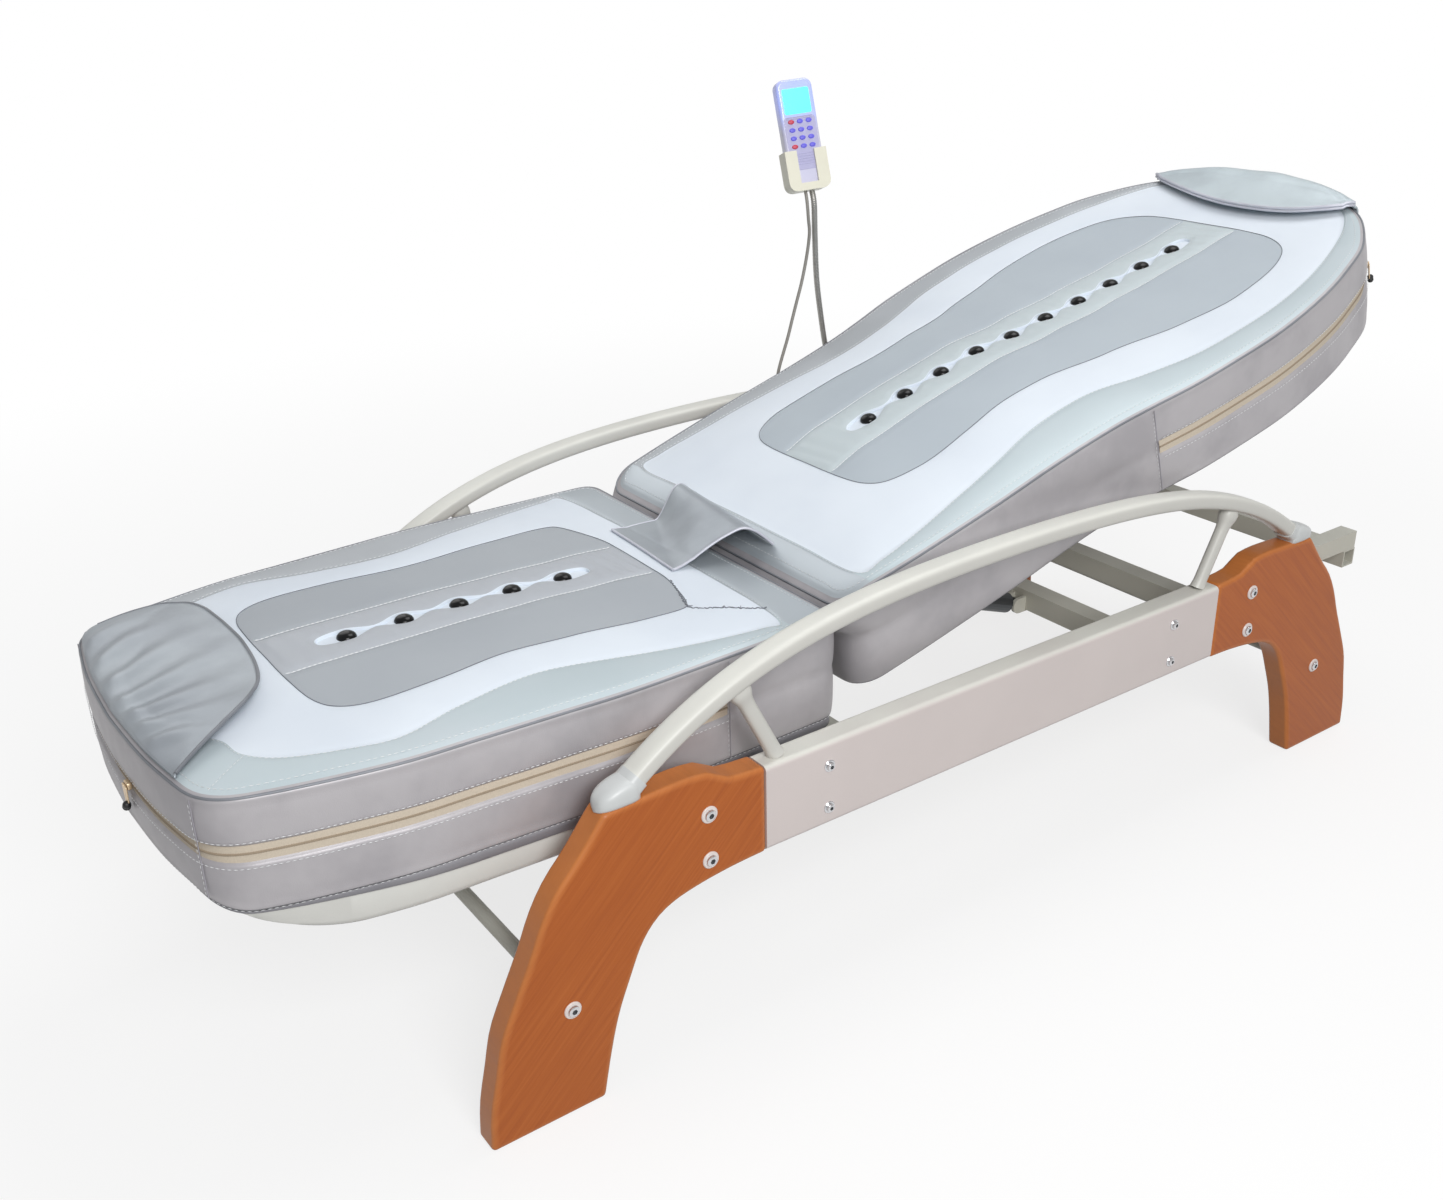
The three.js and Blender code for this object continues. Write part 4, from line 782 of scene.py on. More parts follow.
def rounded_rectangle(width: float, height: float, radius: float, steps: int = 6) -> Array:
    """Rectangle about the origin with a quarter circle at each corner.

    Args:
        width, height: whole sizes.
        radius: radius of the corners.
        steps: steps of each corner.

    Returns:
        The outline.
    """
    angle = (np.arange(4)[:, None] + np.linspace(0, 1, steps + 1)[None]) * TURN / 4
    signs = np.array([[1, 1], [-1, 1], [-1, -1], [1, -1]])[:, None]
    centre = signs * np.array([width / 2 - radius, height / 2 - radius])
    return (centre + radius * joined(np.cos(angle), np.sin(angle))).reshape(-1, 2)


def inset(outline: Array, distance: float | Array) -> Array:
    """Closed outline moved inwards: each point along (n1 + n2) / (1 + n1 . n2), where n1 and n2 are
    the inward normals of its two sides, so that corners stay mitred.

    Args:
        outline: closed outline.
        distance: how far it moves, as one number or one for each point.

    Returns:
        The moved outline.
    """
    edge = unit(np.roll(outline, -1, 0) - outline)
    x, y = outline[:, 0], outline[:, 1]
    turns = np.sign(np.sum(x * np.roll(y, -1) - np.roll(x, -1) * y))
    normal = turns * joined(-edge[:, 1], edge[:, 0])
    before = np.roll(normal, 1, 0)
    mitre = 1 + np.sum(normal * before, 1, keepdims=True)
    inward = (normal + before) / np.maximum(mitre, 0.35)
    return outline + inward * np.reshape(distance, (-1, 1))


def ladder(ring: Array) -> Array:
    """Quads that close a ring as a ladder: rung i joins point i to the i-th point from the end."""
    half = len(ring) // 2
    ahead, back = ring[:half], ring[::-1][:half]
    return joined(ahead[:-1], ahead[1:], back[1:], back[:-1])


def rounded_plate(outline: Array, low: float, high: float, radius: float, steps: int = 5,
                  margin: float = 1.35) -> Shell:
    """Outline in X and Z given thickness along Y. Ring k of an edge lies r(1 - sin a) inside the
    outline at a depth of r(1 - cos a), where a runs from 0 to a quarter turn. No steps leave the
    edge sharp for a bevel.

    Args:
        outline: closed outline in X and Z, of an even number of points.
        low, high: range along Y.
        radius: radius of the rounded edges.
        steps: rings of each edge.
        margin: where the flat face's own ring lies, in radii inside the outline.

    Returns:
        The shell, with the mark worn, the share of painted highlight, from 0 on the flat to 1 on the edges.
    """
    angle = np.linspace(0, TURN / 4, steps + 1) if steps else np.array([TURN / 4])
    depth = radius * (1 - np.cos(angle)) if steps else np.zeros(1)
    draw = np.concatenate([[margin * radius], radius * (1 - np.sin(angle))])
    # share of the painted edge highlight: 0 on the flat face, rising over the rounded edge
    edge_lit = np.concatenate([[0], np.sin(2 * angle) ** 0.5 if steps else [1.0]])
    depth = np.concatenate([[0], depth])
    draws, edges_lit = np.concatenate([draw, draw[::-1]]), np.concatenate([edge_lit, edge_lit[::-1]])
    heights = np.concatenate([low + depth, (high - depth)[::-1]])
    rings = np.stack([
        joined(flat[:, 0], y, flat[:, 1])
        for flat, y in ((inset(outline, d), y) for d, y in zip(draws, heights))])
    shell = skin(rings, capped=False)
    index = np.arange(len(outline))
    shell.quads = np.concatenate([
        shell.quads, ladder(index)[:, ::-1], ladder(index + (len(rings) - 1) * len(outline))])
    shell.marks["worn"] = np.repeat(edges_lit, len(outline))
    return shell


def lathed(profile: Sequence[tuple[float, float, bool]], sides: int = LATHE_SIDES) -> Shell:
    """Profile of radius and height turned about Z. A row marked as hexagonal has the radius
    r cos(30) / cos(a), where a is the angle from the middle of its flat.

    Args:
        profile: rows of radius, height, and whether the row is hexagonal.
        sides: points round.

    Returns:
        The shell.
    """
    angle = np.arange(sides) / sides * TURN
    flat = np.cos(TURN / 12) / np.cos(angle % (TURN / 6) - TURN / 12)
    rows = np.array([(r, z) for r, z, _ in profile], float)
    hexed = np.array([h for _, _, h in profile])[:, None]
    radius = rows[:, :1] * np.where(hexed, flat[None], 1)
    height = np.broadcast_to(rows[:, 1:], radius.shape)
    return skin(joined(radius * np.cos(angle), radius * np.sin(angle), height))


def stitches(path: Array, normal: Sequence[float], length: float = 5.0, gap: float = 2.6,
             width: float = 0.9) -> Shell:
    """Row of stitches: stitch k runs from k (length + gap) to that plus length along the path, as
    a thread of four sides that is thickest in its middle.

    Args:
        path: points on the cloth.
        normal: direction out of the cloth, or one for each of these points.
        length, gap, width: sizes of the stitches.

    Returns:
        The shell of all stitches.
    """
    starts = np.arange(gap, length_of(path) - length, length + gap)
    ends = [along_line(path, starts + share * length) for share in (0, 0.5, 1)]
    normals = np.broadcast_to(np.asarray(normal, float), path.shape)
    out = unit(along_line(np.concatenate([path, normals], 1), starts + length / 2)[:, 3:])
    side = unit(np.cross(out, ends[2] - ends[0]))
    angle = np.arange(4) / 4 * TURN
    ring = np.cos(angle)[None, :, None] * side[:, None] + np.sin(angle)[None, :, None] * out[:, None]
    sizes = (0.35, 1.0, 0.35)
    rows = np.stack([p[:, None] + width / 2 * s * ring for p, s in zip(ends, sizes)], 1)
    points = rows.reshape(-1, 3)
    one = skin(np.zeros((3, 4, 3)))
    faces = np.concatenate([one.quads, np.array(one.caps)])
    quads = (faces[None] + 12 * np.arange(len(starts))[:, None, None]).reshape(-1, 4)
    return Shell(points, quads)


def joined(*columns: Array | float) -> Array:
    """Rows from their columns, each an array or one number for all."""
    return np.stack(np.broadcast_arrays(*columns), -1)


def with_height(flat: Array, height: Array | float) -> Array:
    """Flat points with a height each, or one for all."""
    return np.concatenate([flat, np.broadcast_to(height, flat.shape[:-1])[..., None]], -1)


def to_frame(points: Array) -> Array:
    """Points of the bed's own drawing in millimetres, in metres in the shared frame."""
    placed = np.asarray(points, float) * MM
    placed[..., 0] += MIDDLE_X
    return placed


def make(name: str, shell: Shell, looks: Sequence[Look | Finish], body: str | None,
         closed: bool = True, weld: bool = False, even: bool = False, sharp: float = 38.0,
         bevel: float = 0.0, stands_for: Sequence[str] = ()) -> bpy.types.Object:
    """Make one piece of the bed.

    Args:
        name: the piece's name.
        shell: its points and faces.
        looks: finishes of its material slots.
        body: the body it rides on, or None for a piece that rides on none.
        closed: whether its faces are turned outwards as a closed form.
        weld: whether points that coincide are merged.
        even: whether flat faces keep flat shading beside rounded edges.
        sharp: angle in degrees above which an edge stays crisp.
        bevel: width in millimetres by which sharp edges are rounded.
        stands_for: CAD nodes that it replaces.

    Returns:
        The object.
    """
    mesh = bpy.data.meshes.new(name)
    mesh.from_pydata(to_frame(shell.points).tolist(), [], shell.quads.tolist() + shell.caps)
    if shell.slots is not None:
        mesh.polygons.foreach_set("material_index", shell.slots.astype(np.int32))
    for key, values in shell.marks.items():
        vector = values.ndim == 2
        mark = mesh.attributes.new(key, "FLOAT_VECTOR" if vector else "FLOAT", "POINT")
        mark.data.foreach_set("vector" if vector else "value", values.astype(np.float32).ravel())
    if closed or weld:
        work = bmesh.new()
        work.from_mesh(mesh)
        if weld:
            bmesh.ops.remove_doubles(work, verts=work.verts, dist=2e-6)
        bmesh.ops.recalc_face_normals(work, faces=work.faces)
        work.to_mesh(mesh)
        work.free()
    for look in looks:
        mesh.materials.append((look.value if isinstance(look, Look) else look).material())
    mesh.shade_smooth()
    if not bevel:
        mesh.set_sharp_from_angle(angle=math.radians(sharp))
    piece = bpy.data.objects.new(name, mesh)
    bpy.context.scene.collection.objects.link(piece)
    if bevel:
        rounding = piece.modifiers.new("rounding", "BEVEL")
        rounding.width = bevel * MM
        rounding.segments = 5
        rounding.limit_method = "ANGLE"
        rounding.angle_limit = math.radians(32)
    if even:
        modifier = piece.modifiers.new("even_shading", "WEIGHTED_NORMAL")
        modifier.keep_sharp = True
    if body is not None:
        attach(piece, body)
    if stands_for:
        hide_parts(*stands_for)
    LOG.info("%s: %d faces on %s", name, len(mesh.polygons), body or "two bodies")
    return piece


# view and light


@dataclass
class Viewpoint:
    """Camera at the photograph's place: its roll, lens, position and backward axis."""

    roll: float = -1.46
    lens: float = 36.61
    place: Triple = (-1337.1, -1617.7, 1312.9)
    back: Triple = (-0.516, -0.746, 0.421)

    def build(self) -> None:
        """Place the camera. Its axes are: back, right = forward x up, and both turned by the roll."""
        back = unit(np.array(self.back))
        right = unit(np.cross(-back, (0, 0, 1)))
        up = np.cross(right, -back)
        turn = math.radians(self.roll)
        level = right * math.cos(turn) + up * math.sin(turn)
        high = up * math.cos(turn) - right * math.sin(turn)
        matrix = np.eye(4)
        matrix[:3, 0], matrix[:3, 1], matrix[:3, 2] = level, high, back
        matrix[:3, 3] = to_frame(np.array(self.place))
        data = bpy.data.cameras.new("camera")
        data.sensor_fit = "HORIZONTAL"
        data.sensor_width = 36.0
        data.lens = self.lens
        data.clip_end = 300.0
        camera = bpy.data.objects.new("camera", data)
        camera.matrix_world = Matrix(matrix.tolist())
        bpy.context.scene.collection.objects.link(camera)
        bpy.context.scene.camera = camera


@dataclass
class Studio:
    """Plain pale floor, soft lamps at a plain level and a white surround."""

    floor_reach: float = 60.0
    floor_share: float = 0.76
    floor_dull: Colour = (0.32, 0.32, 0.32, 1)
    floor_seen: Colour = (0.93, 0.93, 0.93, 1)
    white_from: float = 1.0
    white_at: float = 3.4
    surround: float = 0.27
    gleam: float = 0.45
    aim: Triple = (0, 0, 0.45)
    lamps: tuple[tuple[Triple, float, float], ...] = (
        ((-1.2, -3.3, 2.6), 2.0, 122.0),
        ((1.2, 0.2, 3.7), 2.0, 40.0),
        ((-0.2, 3.2, 3.0), 2.6, 22.0),
    )

    def seen(self, recipe: Recipe) -> Wire:
        """Tell which rays see a surface, apart from those that light it.

        Args:
            recipe: node tree that the nodes are added to.

        Returns:
            1 for rays from the camera, off gloss or through clear stuff, and else 0.
        """
        rays = [
            recipe.node("ShaderNodeLightPath", {}, {}, kind)
            for kind in ("Is Camera Ray", "Is Glossy Ray", "Is Transmission Ray")]
        both = rays[0].maths("MAXIMUM", rays[0], rays[1])
        return both.maths("MAXIMUM", both, rays[2])

    def floor(self) -> None:
        """Square floor whose seen side is partly white of its own, so that it keeps the shadow, and
        wholly white far from the bed. It throws little light back."""
        material = bpy.data.materials.new("floor")
        recipe = Recipe(material)
        seen = self.seen(recipe)
        tone = recipe.mix(self.floor_dull, self.floor_seen, seen)
        plain = recipe.node("ShaderNodeBsdfDiffuse", {}, {"Color": tone})
        white = recipe.node("ShaderNodeEmission", {}, {"Color": (1, 1, 1, 1), "Strength": 1.0})
        away = recipe.node("ShaderNodeVectorMath", {"operation": "LENGTH"},
                           {0: recipe.coordinates()}, "Value")
        share = self.floor_share + (1 - self.floor_share) * away.between(self.white_from, self.white_at)
        shader = recipe.node("ShaderNodeMixShader", {}, {0: seen * share, 1: plain, 2: white})
        recipe.node("ShaderNodeOutputMaterial", {}, {"Surface": shader})
        r = self.floor_reach
        mesh = bpy.data.meshes.new("floor")
        mesh.from_pydata([(-r, -r, 0), (r, -r, 0), (r, r, 0), (-r, r, 0)], [], [(0, 1, 2, 3)])
        mesh.materials.append(material)
        floor = bpy.data.objects.new("floor", mesh)
        bpy.context.scene.collection.objects.link(floor)

    def world(self) -> None:
        """White surround, stronger for what sees it than for what it lights."""
        world = bpy.data.worlds.new("surround")
        recipe = Recipe(world)
        straight = recipe.node("ShaderNodeLightPath", {}, {}, "Is Camera Ray")
        shown = self.seen(recipe) * self.gleam + straight * (1 - self.gleam)
        strength = self.surround + (1 - self.surround) * shown
        light = recipe.node("ShaderNodeBackground", {}, {"Color": (1, 1, 1, 1), "Strength": strength})
        recipe.node("ShaderNodeOutputWorld", {}, {"Surface": light})
        bpy.context.scene.world = world

    def lights(self) -> None:
        """Square lamps, each turned to the middle of the bed."""
        for number, (place, size, power) in enumerate(self.lamps):
            data = bpy.data.lights.new(f"lamp_{number}", "AREA")
            data.size = size
            data.energy = power
            lamp = bpy.data.objects.new(data.name, data)
            lamp.location = place
            lamp.rotation_euler = (Vector(self.aim) - Vector(place)).to_track_quat("-Z", "Y").to_euler()
            bpy.context.scene.collection.objects.link(lamp)

    def build(self) -> None:
        """Floor, surround, lamps and the plain view transform."""
        bpy.context.scene.view_settings.view_transform = "Standard"
        self.floor()
        self.world()
        self.lights()


# frame


SIDES = (("near", -1), ("far", 1))
ENDS = (("foot", -1), ("head", 1))


@dataclass
class WoodenLegs:
    """Four shaped legs cut from planks, with rounded edges and their bolts."""

    start: float = 428.7
    reach: float = 405.6
    crest: float = 405.0
    inner: float = 352.0
    outer: float = 390.0
    edge: float = 6.0
    points: int = 38
    washer: float = 11.5
    bolt_head: float = 7.6
    bolts: tuple[Pair, ...] = ((513.7, 345.7), (513.7, 281.0), (715.3, 154.0))
    crest_shares: tuple = ((0, 0.938), (0.08, 0.943), (0.127, 0.948), (0.164, 0.968), (0.211, 0.993),
                           (0.302, 1))
    back_shares: tuple = ((0.551, 1), (0.647, 0.879), (0.723, 0.795), (0.777, 0.709), (0.824, 0.602),
                          (0.874, 0.499), (0.933, 0.37), (0.962, 0.249), (0.99, 0.123), (1, 0))
    inner_shares: tuple = ((0.615, 0), (0.58, 0.163), (0.546, 0.286), (0.502, 0.395), (0.457, 0.494),
                           (0.405, 0.558), (0.339, 0.595), (0.24, 0.617), (0.122, 0.63), (0, 0.635))

    def outline(self, end: int) -> Array:
        """Closed outline in X and Z: the crest and back as one chain, and the inner curve as the
        other, with as many points.

        Args:
            end: -1 at the foot end, 1 at the head end.

        Returns:
            The outline.
        """
        parts = [curve_through(shares, 80) for shares in (
            self.crest_shares, self.back_shares, self.inner_shares)]
        size = np.array([end * self.reach, self.crest])
        chains = [resampled(chain * size, self.points)
                  for chain in (np.concatenate([parts[0], parts[1][1:]]), parts[2])]
        return np.concatenate(chains) + [end * self.start, 0]

    def build(self) -> None:
        """Make the legs and the bolts in them."""
        for end_name, end in ENDS:
            for side_name, side in SIDES:
                low, high = sorted((side * self.inner, side * self.outer))
                shell = rounded_plate(self.outline(end), low, high, self.edge, steps=0, margin=1.5)
                node = f"leg_{end_name}_{side_name}"
                look = Look.WOOD if end < 0 else Look.WOOD_BACK
                make(f"shaped_{node}", shell, [look], "frame", even=True, bevel=self.edge,
                     stands_for=[node])
                heads = [bolt(end * x, z, side, self.outer, self.washer, self.bolt_head)
                         for x, z in self.bolts]
                make(f"bolts_{node}", merged(heads), [Look.WASHER, Look.CHROME, Look.DARK_STEEL],
                     "frame")


def bolt(x: float, z: float, side: int, face: float, washer: float, head: float) -> Shell:
    """Washer with a pan-head bolt that has a hexagon socket, standing on a side face of the bed.

    Args:
        x, z: place of the bolt.
        side: -1 on the near side, 1 on the far side.
        face: distance of the face from the middle of the bed.
        washer, head: radii.

    Returns:
        The shell with slots 0 for the washer, 1 for the head and 2 for the socket's floor.
    """
    disc = lathed([(0.2, -0.5, False), (washer, -0.5, False), (washer, 1.1, False),
                   (washer - 0.8, 2.0, False), (head - 1, 2.0, False), (0.2, 1.9, False)]).dressed(0)
    cap = lathed([(0.2, 1.5, False), (head, 1.5, False), (head, 3.2, False), (0.93 * head, 4.7, False),
                  (0.72 * head, 5.6, False), (0.55 * head, 5.8, False), (0.5 * head, 5.6, True),
                  (0.48 * head, 3.1, True), (0.2, 2.9, True)])
    cap.dressed(1)
    cap.slots[len(cap.quads) - LATHE_SIDES: len(cap.quads)] = 2
    both = merged([disc, cap])
    u, v, w = both.points.T
    both.points = joined(x + u, side * (face + w), z + v)
    return both


@dataclass
class Rails:
    """Two painted side rails with rounded edges and small cap bolts."""

    half: float = 428.4
    top: float = 378.5
    height: float = 120.5
    inner: float = 352.0
    outer: float = 390.0
    radius: float = 7.0
    washer: float = 8.4
    bolt_head: float = 5.8
    bolts: tuple[Pair, ...] = ((329.4, 345.0), (329.4, 284.0))

    def build(self) -> None:
        """Sweep the rail's section between the legs."""
        thickness = self.outer - self.inner
        section = rounded_rectangle(thickness, self.height, self.radius)
        middle = self.top - self.height / 2
        for side_name, side in SIDES:
            y = side * (self.inner + self.outer) / 2
            xs = np.linspace(-self.half, self.half, 9)
            path = joined(xs, y, middle)
            shell = swept(path, section, (0, 0, 1))
            node = f"rail_{side_name}"
            make(f"painted_{node}", shell, [Look.PAINT], "frame", even=True,
                 stands_for=[node])
            heads = [bolt(end * x, z, side, self.outer, self.washer, self.bolt_head)
                     for _, end in ENDS for x, z in self.bolts]
            make(f"bolts_{node}", merged(heads), [Look.CHROME, Look.CHROME, Look.DARK_STEEL],
                 "frame")


@dataclass
class Handrails:
    """Two bowed handrails with their struts, and the white caps that hold their ends."""

    y: float = 371.0
    crest: float = 405.0
    rise: float = 151.7
    end_rise: float = 18.2
    half_span: float = 625.0
    end_x: float = 606.0
    drop_shares: tuple[float, ...] = (0.322, 0.6395, 0.0385)
    tube: Pair = (24.0, 35.0)
    strut_size: Pair = (21.0, 17.0)
    strut_top: float = 462.0
    strut_foot: float = 400.0
    rail_top: float = 378.5
    tube_end: float = 620.0
    cap_start: float = 610.0
    cap_length: float = 54.0
    cap_height: float = 37.0
    cap_width: float = 39.5
    cap_out: float = 2.0
    cap_sink: float = 7.0
    collar: Pair = (28.5, 37.0)
    collar_reach: Pair = (-7.0, 8.0)
    collar_out: float = 1.2

    def fall(self, x: Array | float) -> Array | float:
        """Weighted sum of the second, fourth and sixth power of x / half span."""
        square = (x / self.half_span) ** 2
        return sum(share * square ** (k + 1) for k, share in enumerate(self.drop_shares))

    def centre(self, x: Array) -> Array:
        """Height of the bow's middle line: crest + rise less a share of the fall to its ends."""
        return self.crest + self.rise - (self.rise - self.end_rise) * self.fall(x) / self.fall(self.end_x)

    def bow(self, y: float) -> Shell:
        """Flat oval tube along the bow."""
        x = self.tube_end * np.sin(np.linspace(-0.5, 0.5, 89) * math.pi)
        path = joined(x, y, self.centre(x))
        return swept(path, oval_section(*self.tube, 32, 0.55), (0, 1, 0))

    def strut(self, end: int, y: float) -> Shell:
        """Flattened tube from the rail to the bow, flared by a bell at both ends like a weld.

        Args:
            end: -1 at the foot end, 1 at the head end.
            y: middle of the handrail across the bed.

        Returns:
            The shell.
        """
        top = np.array([end * self.strut_top, y, float(self.centre(np.array(self.strut_top)))])
        foot = np.array([end * self.strut_foot, y, self.rail_top + 0.3])
        share = np.linspace(0, 1, 25)
        path = foot + share[:, None] * (top - foot)
        flare = 1 + 0.5 * np.exp(-((share - 0.86) / 0.09) ** 2) + 0.16 * np.exp(-((share / 0.05) ** 2))
        shell = swept(path, oval_section(*self.strut_size, 24), (0, 1, 0), flare)
        shell.points[:, 2] = np.maximum(shell.points[:, 2], self.rail_top + 0.3)
        return shell

    def cap(self, end: int, y: float) -> Shell:
        """Rounded shoe that holds the bow's end: superellipses in Y and Z along X, each scaled by
        (1 - s to the power 4.5) to a root, where s runs from the heel to the toe.

        Args:
            end: -1 at the foot end, 1 at the head end.
            y: middle of the cap across the bed.

        Returns:
            The shell.
        """
        s = np.linspace(0, 1, 26)
        toe = np.maximum(1 - s**4.5, 0) ** 0.45
        heel = 1 - 0.22 * (1 - np.clip(s / 0.22, 0, 1)) ** 2
        x = end * (self.cap_start - 4 + self.cap_length * s)
        height = self.cap_height * (0.93 - 0.34 * s**1.6) * heel * (0.35 + 0.65 * toe)
        width = self.cap_width * heel * (0.1 + 0.9 * toe)
        section = oval_section(1, 1, 40, 0.62)
        across, high = (part[None] for part in section.T)
        base = self.crest - self.cap_sink
        return skin(joined(x[:, None], y + across * width[:, None], base + (high + 0.5) * height[:, None]))

    def build(self) -> None:
        """Make both handrails and their four caps."""
        for side_name, side in SIDES:
            y = side * self.y
            node = f"handrail_{side_name}"
            shell = merged([self.bow(y), self.strut(-1, y), self.strut(1, y)])
            make(f"bowed_{node}", shell, [Look.BOW], "frame", stands_for=[node])
            for end_name, end in ENDS:
                body = self.cap(end, y + side * self.cap_out)
                x = end * np.linspace(*(self.cap_start + reach for reach in self.collar_reach), 9)
                path = joined(x, y + side * self.collar_out, self.centre(x))
                grow = 1 + 0.04 * np.linspace(0, 1, 9) ** 2
                collar = swept(path, oval_section(*self.collar, 28, 0.6), (0, 1, 0), grow)
                cap = f"rail_cap_{end_name}_{side_name}"
                make(f"moulded_{cap}", merged([body, collar]), [Look.CAP], "frame",
                     sharp=60, stands_for=[cap])


# mats


def crossing(origins: Array, ways: Array, outline: Array) -> Array:
    """Distance along each ray to a closed outline: t = (p - o) x e / (d x e) for the side p, e that
    the ray crosses, and the farthest where there are several.

    Args:
        origins, ways: starts and unit directions of the rays.
        outline: closed outline.

    Returns:
        One distance for each ray.
    """
    edge = np.roll(outline, -1, 0) - outline
    gap = outline[None] - origins[:, None]
    turn = ways[:, None, 0] * edge[None, :, 1] - ways[:, None, 1] * edge[None, :, 0]
    turn = np.where(np.abs(turn) < 1e-12, 1e-12, turn)
    far = (gap[..., 0] * edge[None, :, 1] - gap[..., 1] * edge[None, :, 0]) / turn
    share = (gap[..., 0] * ways[:, None, 1] - gap[..., 1] * ways[:, None, 0]) / turn
    hit = (share > -1e-6) & (share < 1 + 1e-6) & (far > 0)
    return np.max(np.where(hit, far, 0), 1)


def share_table(shares: Sequence[float], place: Array) -> Array:
    """Value between the entries of an even table, eased from one to the next.

    Args:
        shares: the entries.
        place: places in the table, from 0 at its first entry to 1 at its last.

    Returns:
        The value at each place.
    """
    spot = np.clip(place, 0, 1) * (len(shares) - 1)
    low = np.minimum(spot.astype(int), len(shares) - 2)
    part = spot - low
    values = np.asarray(shares, float)
    return values[low] + (values[low + 1] - values[low]) * part * part * (3 - 2 * part)


def mirrored(half: Array) -> Array:
    """Closed outline from its far half, which starts and ends on the middle line."""
    return np.concatenate([half, half[1:-1][::-1] * [1, -1]])


